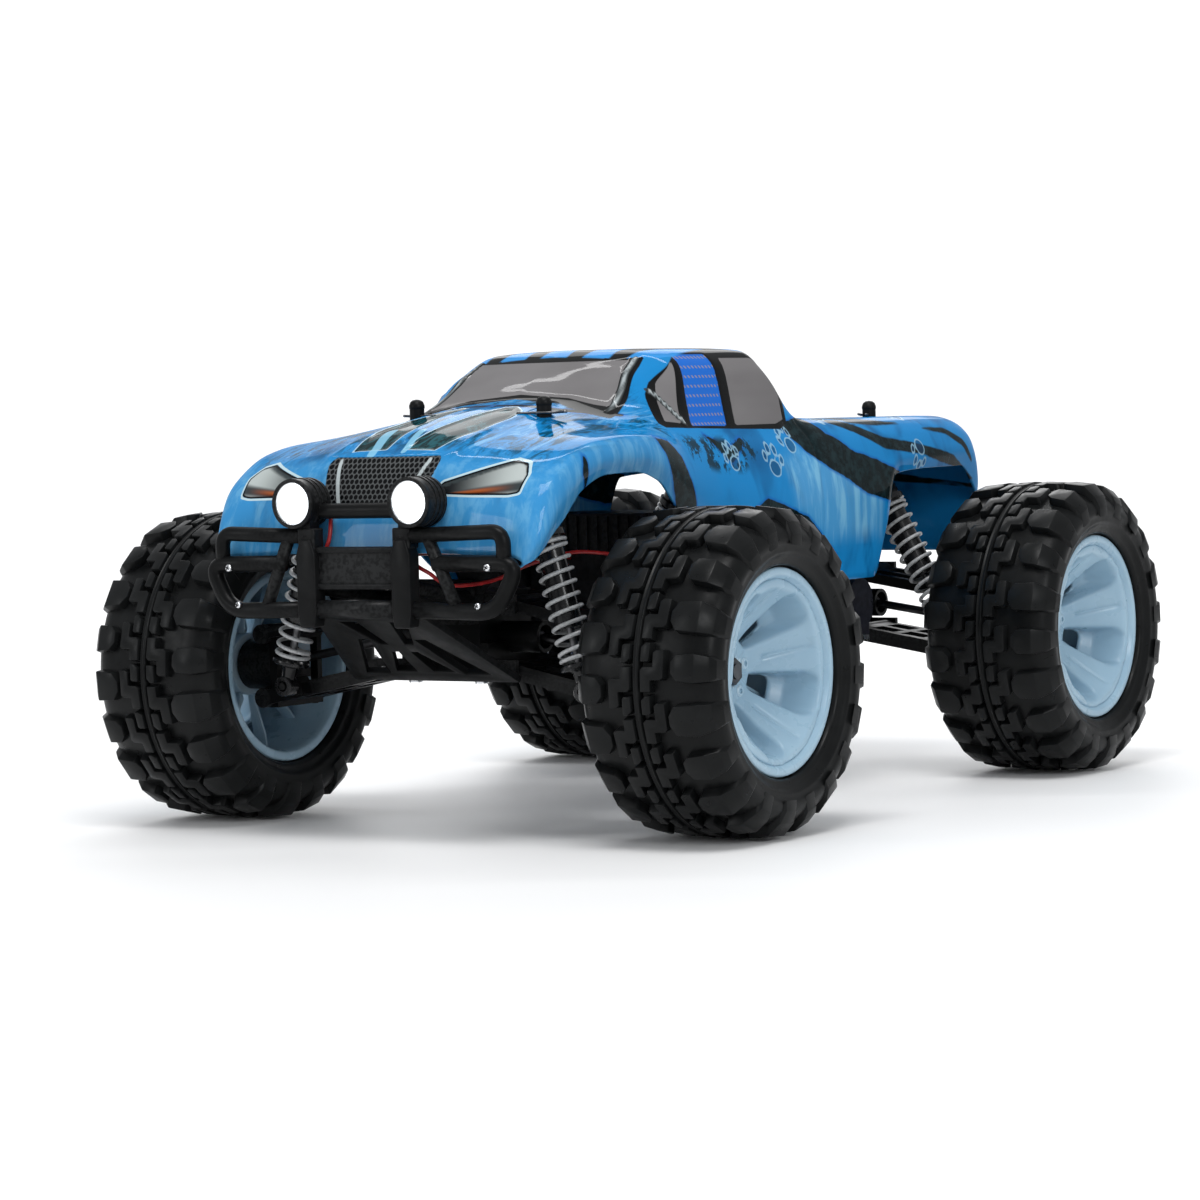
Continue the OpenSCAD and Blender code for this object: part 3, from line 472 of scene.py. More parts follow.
    # headlamp picture
    lamp_in = n.step(a("d_lamp"), 0.15, -0.25)
    hu, hv = a("lamp_u"), a("lamp_v")
    sheen = n.mix(n.step(hu, 0.15, 0.95), (0.010, 0.012, 0.014), (0.42, 0.46, 0.45))
    sheen = n.mix(n.step(n.math("SINE", n.math("MULTIPLY", hv, 7.5)), 0.1, 0.95), sheen, (0.035, 0.045, 0.048))
    glow = n.math("MULTIPLY", n.step(hv, 0.36, 0.12), n.step(hu, 0.98, 0.5))
    sheen = n.mix(glow, sheen, n.mix(n.step(hv, 0.28, 0.08), (0.60, 0.13, 0.012), (0.06, 0.012, 0.004)))
    sheen = n.mix(n.step(a("d_lamp"), -1.1, -0.5), sheen, (0.004, 0.004, 0.004))
    col = n.mix(lamp_in, col, sheen)
    rim = n.math("ABSOLUTE", n.math("ADD", a("d_lamp"), -0.35))
    col = n.mix(n.step(rim, 0.5, 0.3), col, (0.46, 0.60, 0.64))
    # window frames, panes, the cage bars with a painted highlight along their middle, and the perforated strip
    col = fill(col, "d_frame", (0.0045, 0.0050, 0.0052))
    pane = n.mix(n.step(n.noise(n.pos((0.6, 0.3, 1.4)), 22, 3), 0.3, 0.7), (0.135, 0.128, 0.130),
                 (0.185, 0.178, 0.180))
    col = fill(col, "d_pane", pane, 0.15)
    # painted highlight: the cage bars are pale along their middle and dark at their sides
    cage = n.mix(n.step(a("d_cage"), -0.15, -0.95), (0.03, 0.035, 0.036), (0.36, 0.40, 0.41))
    col = fill(col, "d_cage", cage, 0.15)
    su, sv = a("strip_u"), a("strip_v")
    dash = n.math("MULTIPLY", n.step(n.math("SINE", n.math("MULTIPLY", su, 2.6)), 0.0, 0.5),
                  n.step(n.math("SINE", n.math("MULTIPLY", sv, 1.62)), 0.45, 0.85))
    strip = n.mix(n.math("MULTIPLY", dash, 0.8), (0.012, 0.125, 0.52), (0.30, 0.24, 0.20))
    col = fill(col, "d_strip", strip, 0.15)
    # roof bars of pale blue
    col = fill(col, "d_roofbar", (0.035, 0.27, 0.66), 0.8, 0.9)
    n.link(col, n.bsdf.inputs["Base Color"])
    n.link(n.step(broad, 0.3, 0.7, 0.28, 0.38), n.bsdf.inputs["Roughness"])
    return m


BLACK = (0.0036, 0.0038, 0.0040), (0.0075, 0.0079, 0.0083)
MAT = {
    "tyre": rubber_material(),
    "rim": rim_material(),
    "black": plastic("black_plastic", *BLACK, 0.40, 900, 0.06, 0.0, 0.12),
    "bumper": plastic("bumper_plastic", *BLACK, 0.36, 700, 0.05, 0.0, 0.10),
    "damper": plastic("damper_plastic", (0.0045, 0.0047, 0.0052), (0.009, 0.0095, 0.0105), 0.22, 1200, 0.04, 0.12,
                      0.28),
    "white": plastic("white_plastic", (0.55, 0.54, 0.50), (0.68, 0.67, 0.63), 0.36, 900, 0.1),
    "case": plastic("case_plastic", (0.0042, 0.0042, 0.0048), (0.009, 0.009, 0.010), 0.44, 620, 0.12, 0.0, 0.32),
    "gear": plastic("gear_plastic", (0.020, 0.020, 0.021), (0.035, 0.035, 0.037), 0.38, 900, 0.1),
    "wrap": plastic("battery_wrap", (0.0040, 0.0045, 0.0080), (0.0060, 0.0068, 0.0120), 0.34, 500, 0.02, 0.0, 0.2),
    "steel": metal("steel", (0.62, 0.63, 0.65), 0.24),
    "dark_steel": metal("dark_steel", (0.10, 0.10, 0.105), 0.36),
    "spring": plastic("spring_steel", (0.30, 0.31, 0.315), (0.40, 0.41, 0.415), 0.34, 900, 0.04, 0.0, 0.6),
    "alu": metal("aluminium", (0.66, 0.675, 0.70), 0.30, (26, 1, 1)),
    "can": metal("motor_can", (0.52, 0.53, 0.55), 0.30, (1, 24, 1)),
    "brass": metal("brass", (0.72, 0.54, 0.24), 0.26),
}
MAT["shell"] = paint_material()


def cable_material():
    m, n = material("red_cable", 0.38, 0.0, 0.5, 0.15, 0.2)
    v = n.noise(n.pos(), 260, 3, 0.6)
    n.link(n.mix(n.step(v, 0.3, 0.7), (0.30, 0.010, 0.012), (0.46, 0.020, 0.020)), n.bsdf.inputs["Base Color"])
    n.link(n.step(v, 0.3, 0.7, 0.30, 0.46), n.bsdf.inputs["Roughness"])
    n.bump(n.noise(n.pos(), 900, 2), 0.1, 0.0001)
    return m


def chrome_material():
    m, n = material("lamp_reflector", 0.08, 1.0)
    v = n.noise(n.pos(), 300, 3)
    n.link(n.mix(n.step(v, 0.3, 0.7), (0.80, 0.82, 0.84), (0.92, 0.93, 0.94)), n.bsdf.inputs["Base Color"])
    n.link(n.step(v, 0.3, 0.7, 0.05, 0.12), n.bsdf.inputs["Roughness"])
    return m


def glow_material():
    m, n = material("lamp_glow", 0.3)
    v = n.noise(n.pos(), 400, 2)
    n.link(n.mix(n.step(v, 0.2, 0.8), (0.86, 0.92, 1.0), (1.0, 1.0, 1.0)), n.bsdf.inputs["Emission Color"])
    n.link(n.mix(n.step(v, 0.2, 0.8), (0.80, 0.86, 0.9), (0.9, 0.92, 0.95)), n.bsdf.inputs["Base Color"])
    n.bsdf.inputs["Emission Strength"].default_value = 9.0
    return m


def lens_material():
    m, n = material("lamp_lens", 0.05, 0.0, 0.5)
    v = n.voronoi(n.pos(), 560, "F1", 0.2)
    n.link(n.mix(n.step(v, 0.2, 0.8), (0.93, 0.97, 1.0), (1.0, 1.0, 1.0)), n.bsdf.inputs["Base Color"])
    n.bsdf.inputs["Transmission Weight"].default_value = 0.92
    n.bsdf.inputs["IOR"].default_value = 1.46
    n.bsdf.inputs["Emission Color"].default_value = (0.9, 0.95, 1.0, 1.0)
    n.bsdf.inputs["Emission Strength"].default_value = 0.35
    n.bump(v, 0.12, 0.0003)
    return m


MAT["cable"] = cable_material()
MAT["chrome"] = chrome_material()
MAT["glow"] = glow_material()
MAT["lens"] = lens_material()

CAD_LOOK = [
    ("wheel_axle", "dark_steel"), ("lower_arm", "black"), ("upper_arm", "black"), ("c_hub", "black"),
    ("rear_hub", "black"), ("knuckle", "black"), ("dogbone", "dark_steel"), ("shock_body", "damper"),
    ("shock_rod", "steel"), ("tie_rod", "black"), ("steering_rack", "black"), ("servo_horn", "white"),
    ("steering_servo", "case"), ("chassis_plate", "alu"), ("gearboxes", "black"), ("shock_towers", "black"),
    ("lamp_housings", "black"), ("motor", "can"), ("pinion_gear", "brass"), ("centre_shaft", "gear"),
    ("battery_pack", "wrap"), ("radio_box", "case"), ("fasteners", "steel"), ("front_bumper", "bumper"),
]
for node, ob in NODES.items():
    for start, mat in CAD_LOOK:
        if node.startswith(start):
            paint(ob, MAT[mat])
            soften(ob, 30)


# ---------------------------------------------------------------- tyres

LUGS = 20
TREAD_R = 61.0


def polar(s, w, r):
    """Point on a tyre: s along the tread in mm, w across it, r the radius. The axle is X."""
    a = s / TREAD_R
    return (w, r * math.sin(a), r * math.cos(a))


def carcass_radius(w):
    w = abs(w)
    pts = [(0, 59.6), (10, 59.5), (17, 59.2), (22, 58.6), (25.0, 57.6), (27.4, 56.0), (29.0, 54.0), (30.0, 51.6),
           (30.2, 49.0)]
    for (a, ra), (b, rb) in zip(pts, pts[1:]):
        if w <= b:
            return ra + (rb - ra) * (w - a) / (b - a)
    return 49.0


def tread_block(outline, top, s0, flip):
    """Raised block: outline of (s, w), walls that lean in, flat top following the tread's crown."""
    verts, faces = [], []
    n = len(outline)
    cs = sum(p[0] for p in outline) / n
    cw = sum(p[1] for p in outline) / n
    for grow, buried in ((1.10, True), (1.0, False)):
        for s, w in outline:
            gs = cs + (s - cs) * grow
            gw = cw + (w - cw) * grow
            r = carcass_radius(gw) - 0.6 if buried else top(gw)
            verts.append(polar(s0 + gs * flip, gw * flip, r))
    for i in range(n):
        j = (i + 1) % n
        faces.append((i, j, n + j, n + i))
    faces.append(tuple(range(n, 2 * n)))
    return verts, faces


def shoulder_block(s0, flip, tall):
    """Big edge block that wraps over the shoulder on to the side wall."""
    st = [(13.4, 62.9, 4.6, 8.2), (16.0, 63.1, 1.0, 11.8), (24.6, 62.2, 0.5, 12.4), (29.2, 57.3, 1.0, 11.8),
          (31.0, 52.4, 2.2, 10.4)]
    if not tall:
        st = [(15.2, 62.8, 4.8, 8.8), (17.6, 63.0, 1.9, 11.4), (24.4, 61.9, 1.2, 11.9), (28.8, 57.6, 1.6, 11.2),
              (30.2, 54.6, 2.6, 10.0)]
    verts, faces = [], []
    for w, r, a, b in st:
        base = carcass_radius(w) - 0.8
        for s, rr in ((a - 0.7, base), (a, r), (b, r), (b + 0.7, base)):
            verts.append(polar(s0 + s * flip, w * flip, rr))
    m = len(st)
    for i in range(m - 1):
        for k in range(3):
            faces.append((i * 4 + k, i * 4 + k + 1, (i + 1) * 4 + k + 1, (i + 1) * 4 + k))
    faces.append((0, 1, 2, 3))
    faces.append(tuple((m - 1) * 4 + k for k in (3, 2, 1, 0)))
    return verts, faces


def tyre_mesh(name):
    step = 2 * math.pi * TREAD_R / LUGS
    zed = [(0.4, 2.3), (8.2, 2.3), (9.4, 3.6), (9.4, 7.6), (14.4, 7.6), (15.4, 8.8), (15.4, 12.0), (5.6, 12.0),
           (4.6, 10.8), (4.6, 6.6), (0.4, 6.6)]
    tab = [(11.2, 2.4), (16.4, 2.4), (18.0, 4.2), (18.0, 6.2), (11.8, 6.0), (11.2, 5.2)]
    verts, faces = [], []

    def crown(w):
        return 63.35 - 0.0032 * w * w

    def add(v, f):
        o = len(verts)
        verts.extend(v)
        faces.extend(tuple(o + k for k in q) for q in f)

    for i in range(LUGS):
        for flip in (1, -1):
            s0 = i * step + (0 if flip > 0 else step * 0.5)
            add(*tread_block(zed, crown, s0, flip))
            add(*tread_block(tab, crown, s0, flip))
            add(*shoulder_block(s0 + 2.5 * flip, flip, i % 2 == 0))
    blocks = make_mesh(name + "_blocks", verts, faces, smooth=False)
    bevel(blocks, 0.32, 2, 14)
    apply_mods(blocks)
    soften(blocks, 30)
    prof = [(38.0, -19.8), (38.0, -22.7), (40.4, -22.9), (40.5, -26.0), (41.2, -27.0), (42.2, -27.4), (43.0, -27.6),
            (44.4, -28.5), (45.1, -29.2), (46.0, -29.5), (46.7, -29.4), (48.6, -30.0), (50.6, -30.2), (52.6, -29.8),
            (54.6, -28.8), (56.2, -27.2), (57.6, -25.0), (58.6, -22.0), (59.2, -17.0), (59.5, -9.0), (59.6, -2.6),
            (60.0, -1.7), (62.3, -1.35), (62.8, -0.9), (62.4, -0.3)]
    prof = prof + [(r, -w) for r, w in reversed(prof)]
    shell = lathe(name + "_wall", prof, 120, "x")
    soften(shell, 50)
    return join(name, [shell, blocks])


# ---------------------------------------------------------------- rims

def rim_front_mesh(name):
    """Five wide grooved spokes between deep buckets, each with one opening near the hub."""
    rows = [5.4, 7.0, 8.6, 10.2, 12.0, 13.2, 14.4, 15.2, 16.2, 17.4, 18.6, 20.4, 22.4, 24.2, 25.4, 26.2, 27.6, 29.0,
            30.2, 31.0, 31.9, 32.7, 33.4, 34.4, 35.6]
    hole = (13.2, 26.2)

    def spoke_z(r):
        if r < 12:
            return 2.6
        return min(22.9, 2.6 + (r - 12.0) * 0.74 + 0.012 * (r - 12.0) ** 2)

    def well_z(r):
        if r < 12.4:
            return 2.6
        if r < 14.4:
            return 2.6 - (r - 12.4) * 2.1
        if r < 26.2:
            return -1.6 + (r - 14.4) * 0.42
        if r < 31.0:
            return 3.4 + (r - 26.2) * 1.15
        return min(22.9, 8.9 + (r - 31.0) * 5.9)

    verts, faces = [], []
    index = {}
    cols = None
    for i, r in enumerate(rows):
        per = 2 * math.pi * r / 5
        half = min(4.6 + max(0, r - 14) * 0.29 + 0.16 * max(0, r - 28.5) ** 2, per * 0.40)
        slope = 0.75 + max(0, r - 14) * 0.02
        if r < 12.4:
            half, slope = per * 0.3, per * 0.05
        t = (r - hole[0]) / (17.4 - hole[0])
        if r < hole[0] or r > hole[1]:
            wh = 0.9
        elif t < 1:
            wh = 0.9 + 3.6 * math.sqrt(max(0, 1 - (1 - t) ** 2))
        else:
            wh = 4.5 + (r - 17.4) * 0.16
        if 25.0 <= r <= hole[1]:
            wh -= (r - 25.0) * 0.9
        gap = per - 2 * (half + slope)
        wh = min(wh, gap * 0.46)
        grooved = 16.8 <= r <= 31.0
        g = 1.25 if grooved else 0.0
        spots = [(0.0, -g), (0.8, -g), (1.35, 0), (half * 0.55, 0.12), (half - 0.5, 0), (half, -0.35),
                 (half + slope, None), (half + slope + (gap / 2 - wh) * 0.5, None), (per / 2 - wh, None),
                 (per / 2 - wh * 0.4, None)]
        full = spots + [(per - d, k) for d, k in reversed(spots[1:])]
        cols = len(full)
        for s in range(5):
            for k, (d, drop) in enumerate(full):
                a = (s * per + d) / r
                if drop is None:
                    z = well_z(r)
                    edge = min(d, per - d) - (half + slope)
                    z += 0.0 if edge > 0.1 else 0.4
                else:
                    z = spoke_z(r) + drop
                index[(i, s * cols + k)] = len(verts)
                verts.append((z, r * math.sin(a), r * math.cos(a)))
    n = 5 * cols
    for i in range(len(rows) - 1):
        mid = (rows[i] + rows[i + 1]) / 2
        for k in range(n):
            c = k % cols
            inside = hole[0] <= mid <= hole[1] and 8 <= c < cols - 8
            if inside:
                continue
            q = (k + 1) % n
            faces.append((index[(i, k)], index[(i, q)], index[(i + 1, q)], index[(i + 1, k)]))
    front = make_mesh(name, verts, faces)
    s = front.modifiers.new("thick", "SOLIDIFY")
    s.thickness = 1.9 * MM
    s.offset = 0
    s.use_even_offset = False
    b = front.modifiers.new("round", "SUBSURF")
    b.levels = 1
    b.render_levels = 1
    apply_mods(front)
    return front


def rim_mesh(name):
    front = rim_front_mesh(name + "_front")
    barrel = lathe(name + "_barrel", [
        (34.6, 22.4), (35.6, 23.6), (36.4, 24.9), (36.9, 25.4), (38.9, 25.5), (39.5, 25.2), (39.75, 24.6),
        (39.7, 23.9), (39.1, 23.3), (37.9, 23.1), (37.2, 22.2), (37.0, 18), (36.9, 0), (37.0, -18), (37.2, -22.2),
        (37.9, -23.1), (39.1, -23.3), (39.7, -23.9), (39.75, -24.6), (39.2, -25.3), (38.4, -25.5), (36.6, -25.4),
        (35.9, -24.8), (35.3, -22.0), (35.0, -10), (34.9, 6), (34.6, 14)], 120, "x", closed=True)
    soften(barrel, 60)
    parts = [front, barrel]
    hub = lathe(name + "_hub", [(3.1, -5.4), (12.4, -5.4), (12.9, -4.8), (12.9, 1.2), (12.0, 2.4), (7.6, 2.6),
                                (7.0, 2.0), (6.6, 1.4), (3.1, 1.3)], 60, "x", closed=True)
    soften(hub, 40)
    parts.append(hub)
    for i in range(5):
        a = 2 * math.pi * i / 5
        boss = lathe(f"{name}_boss{i}", [(0.0, 2.2), (2.2, 2.2), (2.2, 3.8), (1.8, 4.2), (1.0, 4.25), (0.9, 3.5),
                                         (0.0, 3.5)], 20, "x")
        soften(boss, 40)
        shift(boss, 0, 9.4 * math.sin(a), 9.4 * math.cos(a))
        parts.append(boss)
    for i in range(10):
        a = 2 * math.pi * i / 10
        web = prism(f"{name}_web{i}", [(-2.0, 13.0), (-2.0, 33.8), (6.5, 35.4), (-8.0, 35.4), (-8.0, 30.0),
                                       (-4.6, 13.0)], -0.55, 0.55, 0.15, "y")
        web.data.transform(Matrix.Rotation(-a, 4, "X"))
        parts.append(web)
    return join(name, parts)


ANGLE = {("front", 1): -3.0, ("front", -1): 10.0, ("rear", 1): -4.0, ("rear", -1): 48.0}
for end, ey in ENDS.items():
    for side, sx in SIDES.items():
        body = f"wheel_{end}_{side}"
        for kind, build, mat in (("tyre", tyre_mesh, "tyre"), ("rim", rim_mesh, "rim")):
            ob = build(f"{kind}_{end}_{side}_look")
            turn = math.radians(ANGLE[(end, sx)] if kind == "rim" else 3.0 + 4 * (ey + sx))
            ob.data.transform(Matrix.Rotation(turn, 4, "X"))
            if sx < 0:
                flip_x(ob)
            shift(ob, WHEEL_X * sx, ey * AXLE_Y + Y_SHIFT, WHEEL_Z)
            paint(ob, MAT[mat])
            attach(ob, body)
            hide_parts(f"{kind}_{end}_{side}")


# ---------------------------------------------------------------- springs

DAMPER = {"front": ((53.3, 128.0), (72.3, 57.0)), "rear": ((50.5, 130.0), (84.5, 66.0))}
SHOCK_Y = -27.0
COIL_TURNS, COIL_SEGMENTS, COIL_TOP, COIL_BOTTOM = 11, 26, 13.3, 61.4
COIL_R, WIRE_R = 6.5, 0.82
for end, ey in ENDS.items():
    top, low = DAMPER[end]
    for side, sx in SIDES.items():
        axis = Vector((low[0] - top[0], 0, low[1] - top[1])).normalized()
        o = Vector((top[0], ey * AXLE_Y + SHOCK_Y, top[1]))
        u = Vector((0, 1, 0))
        v = axis.cross(u)
        pts = []
        dead = 1.0 / COIL_TURNS  # share of the wire in each closed end coil
        for i in range(COIL_TURNS * COIL_SEGMENTS + 1):
            t = i / (COIL_TURNS * COIL_SEGMENTS)
            w = (0 if t < dead else 1 if t > 1 - dead else (t - dead) / (1 - 2 * dead))
            rise = (COIL_TOP + 0.65 + 1.3 * min(t, dead) / dead + (COIL_BOTTOM - COIL_TOP - 3.9) * w
                    + 1.3 * max(0, t - 1 + dead) / dead)
            a = 2 * math.pi * i / COIL_SEGMENTS
            p = o + axis * rise + COIL_R * (math.cos(a) * u + math.sin(a) * v)
            pts.append((p.x * sx, p.y + Y_SHIFT, p.z))
        ob = tube(f"coil_{end}_{side}", pts, WIRE_R, 10)
        paint(ob, MAT["spring"])
        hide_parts(f"spring_{end}_{side}")
        a, b = o + axis * 14.0, o + axis * 61.0
        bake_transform(ob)

        # steel rod, then the black spring seat with its neck and eye
        length = math.hypot(low[0] - top[0], low[1] - top[1])
        turn = Matrix(((u.x, v.x, axis.x), (u.y, v.y, axis.y), (u.z, v.z, axis.z))).to_4x4()
        low_pt = o + axis * length
        parts = []
        rod = lathe(f"rod_{end}_{side}", [(0.0, 28.0), (4.1, 28.0), (4.1, 31.0), (1.5, 31.2), (1.5, 62.8),
                                          (0.0, 62.8)], 28, "z")
        seat = lathe(f"seat_{end}_{side}", [
            (1.5, 61.9), (5.2, 61.9), (6.6, 62.3), (7.4, 62.5), (7.55, 63.0), (7.55, 63.9), (7.1, 64.3), (4.4, 64.6),
            (3.3, 65.4), (2.9, length - 4.6), (2.4, length - 2.6), (0.0, length - 2.6)], 40, "z")
        for piece, mat, slot in ((rod, "dark_steel", "steel"), (seat, "damper", "damper_plastic")):
            soften(piece, 40)
            piece.data.transform(turn)
            shift(piece, o.x, o.y, o.z)
            parts.append((piece, mat, slot))
        eye = lathe(f"eye_{end}_{side}", [(2.2, -3.0), (3.8, -3.0), (4.1, -2.7), (4.1, 2.7), (3.8, 3.0),
                                          (2.2, 3.0)], 36, "y", closed=True)
        soften(eye, 40)
        shift(eye, low_pt.x, low_pt.y, low_pt.z)
        parts.append((eye, "damper", "damper_plastic"))
        for piece, mat, slot in parts:
            if sx < 0:
                flip_x(piece)
            shift(piece, 0, Y_SHIFT, 0)
            paint(piece, MAT[mat])
            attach(piece, f"shock_rod_{end}_{side}")
        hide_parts(f"shock_rod_{end}_{side}")


# ---------------------------------------------------------------- body shell

SECTIONS = [
    [-201, [(70, 107), (71, 108.5), (68, 110), (60, 111), (45, 111.5), (30, 112), (15, 112), (0, 112)]],
    [-198, [(73, 109), (75, 115), (72, 121), (62, 124), (45, 125), (30, 126), (15, 126), (0, 126)]],
    [-194, [(74, 112), (77, 120), (75, 128), (66, 133), (48, 135), (30, 137), (15, 138), (0, 138)]],
    [-188, [(75, 118), (78, 128), (76, 136), (66, 140), (48, 143), (28, 146), (14, 147), (0, 147)]],
    [-180, [(75.5, 124), (78, 134), (76, 142), (64, 145), (46, 148), (28, 150), (14, 151), (0, 151)]],
    [-168, [(76, 134.5), (78, 141.5), (75, 148.5), (64, 149.5), (46, 151.5), (28, 154), (14, 156), (0, 156)]],
    [-150, [(76, 140), (78, 145.5), (75, 152), (64, 153.5), (46, 155), (28, 158), (14, 160), (0, 160.5)]],
    [-131, [(76, 140.3), (78, 146), (75, 153), (64, 155), (47, 158), (28, 161), (14, 163.5), (0, 164)]],
    [-112, [(75, 136.3), (77, 143), (74, 152), (64, 156), (48, 160), (28, 164), (14, 166), (0, 166.5)]],
    [-98, [(74, 125.5), (76, 137), (72, 150), (62, 157), (48, 163), (28, 167), (14, 168), (0, 168.5)]],
    [-86, [(73, 117), (75, 132), (70, 148), (60, 157), (46, 168.5), (28, 174), (14, 176), (0, 176.5)]],
    [-74, [(72, 110), (74, 128), (69, 147), (61, 157), (44, 178), (30, 181.5), (14, 183), (0, 183.5)]],
    [-60, [(72, 100), (73.5, 124), (68, 146), (61.5, 156), (48, 181), (36, 186.5), (16, 187.6), (0, 188)]],
    [-45, [(72, 92), (73.5, 122), (68, 145), (62, 155), (50, 182), (40, 187), (18, 188), (0, 188)]],
    [-20, [(72, 90), (73.5, 121), (68, 144), (62, 154), (51, 182), (42, 187), (18, 188), (0, 188)]],
    [4, [(72, 89), (73.5, 121), (68, 144), (62, 153.5), (51, 181), (43, 186.5), (18, 187.5), (0, 187.5)]],
    [12, [(72, 89), (73.5, 121), (68, 145), (61, 154), (54, 172), (42, 177), (18, 178), (0, 178)]],
    [27, [(72, 89), (73.5, 122), (69, 147), (62, 155), (54, 157.5), (40, 158), (18, 158), (0, 158)]],
    [62, [(72, 89), (73.5, 122), (69, 147), (61, 155), (54, 156.5), (40, 156.5), (18, 156.5), (0, 156.5)]],
    [74, [(72, 108), (73, 126), (69, 147), (60.5, 155), (54, 156.4), (40, 156.4), (18, 156.4), (0, 156.4)]],
    [87, [(71, 133), (72, 139), (68, 149), (60, 155), (54, 156.3), (40, 156.3), (18, 156.3), (0, 156.3)]],
    [120, [(70, 134.5), (71, 140), (67, 150), (60, 155), (54, 156.3), (40, 156.3), (18, 156.3), (0, 156.3)]],
    [152, [(68, 134.5), (69, 141), (66, 149), (60, 154.5), (54, 155.8), (40, 156), (18, 156), (0, 156)]],
    [165, [(66, 128), (67.5, 138), (65, 147), (59, 152.5), (53, 153.8), (40, 154), (18, 154), (0, 154)]],
    [171, [(65, 123), (66, 133), (64, 143), (58, 149), (52, 150.5), (40, 151), (18, 151), (0, 151)]],
    [176, [(63, 120), (63.5, 124), (62, 130), (57, 134), (50, 136), (40, 137), (18, 137), (0, 137)]],
    [178, [(60, 119), (60, 121), (59, 123), (55, 124), (48, 125), (38, 125), (18, 125), (0, 125)]],
    [179.5, [(58, 93), (58, 94), (57, 94.6), (52, 95), (46, 95), (36, 95), (18, 95), (0, 95)]],
]


def pchip(x, y, xq):
    """Monotone cubic through (x, y), y may have extra axes."""
    x = np.asarray(x, float)
    y = np.asarray(y, float)
    h = np.diff(x).reshape((-1,) + (1,) * (y.ndim - 1))
    d = np.diff(y, axis=0) / h
    m = np.zeros_like(y)
    w1 = 2 * h[1:] + h[:-1]
    w2 = h[1:] + 2 * h[:-1]
    with np.errstate(divide="ignore", invalid="ignore"):
        inner = (w1 + w2) / (w1 / d[:-1] + w2 / d[1:])
    inner = np.where(d[:-1] * d[1:] > 0, inner, 0.0)
    m[1:-1] = inner
    m[0], m[-1] = d[0], d[-1]
    xq = np.asarray(xq, float)
    i = np.clip(np.searchsorted(x, xq, side="right") - 1, 0, len(x) - 2)
    hh = (x[i + 1] - x[i]).reshape((-1,) + (1,) * (y.ndim - 1))
    t = ((xq - x[i]) / (x[i + 1] - x[i])).reshape(hh.shape)
    return ((2 * t ** 3 - 3 * t ** 2 + 1) * y[i] + (t ** 3 - 2 * t ** 2 + t) * hh * m[i]
            + (-2 * t ** 3 + 3 * t ** 2) * y[i + 1] + (t ** 3 - t ** 2) * hh * m[i + 1])


def poly_sdf(px, py, poly):
    """Signed distance to a closed outline, negative inside."""
    poly = np.asarray(poly, float)
    d = np.full(px.shape, 1e9)
    inside = np.zeros(px.shape, bool)
    n = len(poly)
    for i in range(n):
        ax, ay = poly[i]
        bx, by = poly[(i + 1) % n]
        ex, ey = bx - ax, by - ay
        wx, wy = px - ax, py - ay
        t = np.clip((wx * ex + wy * ey) / max(ex * ex + ey * ey, 1e-12), 0, 1)
        d = np.minimum(d, (wx - ex * t) ** 2 + (wy - ey * t) ** 2)
        cond = (ay > py) != (by > py)
        with np.errstate(divide="ignore", invalid="ignore"):
            cross = ex * (py - ay) / (ey if abs(ey) > 1e-12 else 1e-12) + ax
        inside ^= cond & (px < cross)
    return np.where(inside, -1, 1) * np.sqrt(d)


def line_sdf(px, py, pts, widths):
    """Distance to a brush stroke whose half width changes along it, negative inside."""
    best = np.full(px.shape, 1e9)
    for (a, wa), (b, wb) in zip(zip(pts, widths), zip(pts[1:], widths[1:])):
        ex, ey = b[0] - a[0], b[1] - a[1]
        t = np.clip(((px - a[0]) * ex + (py - a[1]) * ey) / (ex * ex + ey * ey), 0, 1)
        dd = np.hypot(px - a[0] - ex * t, py - a[1] - ey * t) - (wa + (wb - wa) * t)
        best = np.minimum(best, dd)
    return best


def smooth01(v, lo, hi):
    t = np.clip((v - lo) / (hi - lo), 0, 1)
    return t * t * (3 - 2 * t)


def build_shell():
    ys = [s[0] for s in SECTIONS]
    ctrl = np.array([s[1] for s in SECTIONS], float)
    dense = np.linspace(ys[0], ys[-1], 3000)
    cd = pchip(ys, ctrl, dense)
    move = np.abs(np.diff(cd, axis=0)).max(axis=(1, 2))
    run = np.concatenate([[0], np.cumsum(np.hypot(np.diff(dense), 0.75 * move))])
    rows = int(run[-1] / 1.5)
    yq = np.interp(np.linspace(0, run[-1], rows), run, dense)
    cq = pchip(ys, ctrl, yq)
    cols = 82
    half = np.zeros((rows, cols, 2))
    seg = np.sqrt((np.diff(cq, axis=1) ** 2).sum(2)).mean(0)
    knots = np.concatenate([[0], np.cumsum(seg)])
    tq = np.linspace(0, knots[-1], cols)
    for i in range(rows):
        half[i] = pchip(knots, cq[i], tq)
    full = np.concatenate([half, half[:, -2::-1] * np.array([-1, 1])], axis=1)
    nc = full.shape[1]
    pos = np.zeros((rows, nc, 3))
    pos[..., 0] = full[..., 0]
    pos[..., 1] = yq[:, None]
    pos[..., 2] = full[..., 1]
    for _ in range(3):
        q = pos.copy()
        q[1:-1, 1:-1] = (pos[1:-1, 1:-1] * 2 + pos[:-2, 1:-1] + pos[2:, 1:-1] + pos[1:-1, :-2] + pos[1:-1, 2:]) / 6
        pos = q
    return pos


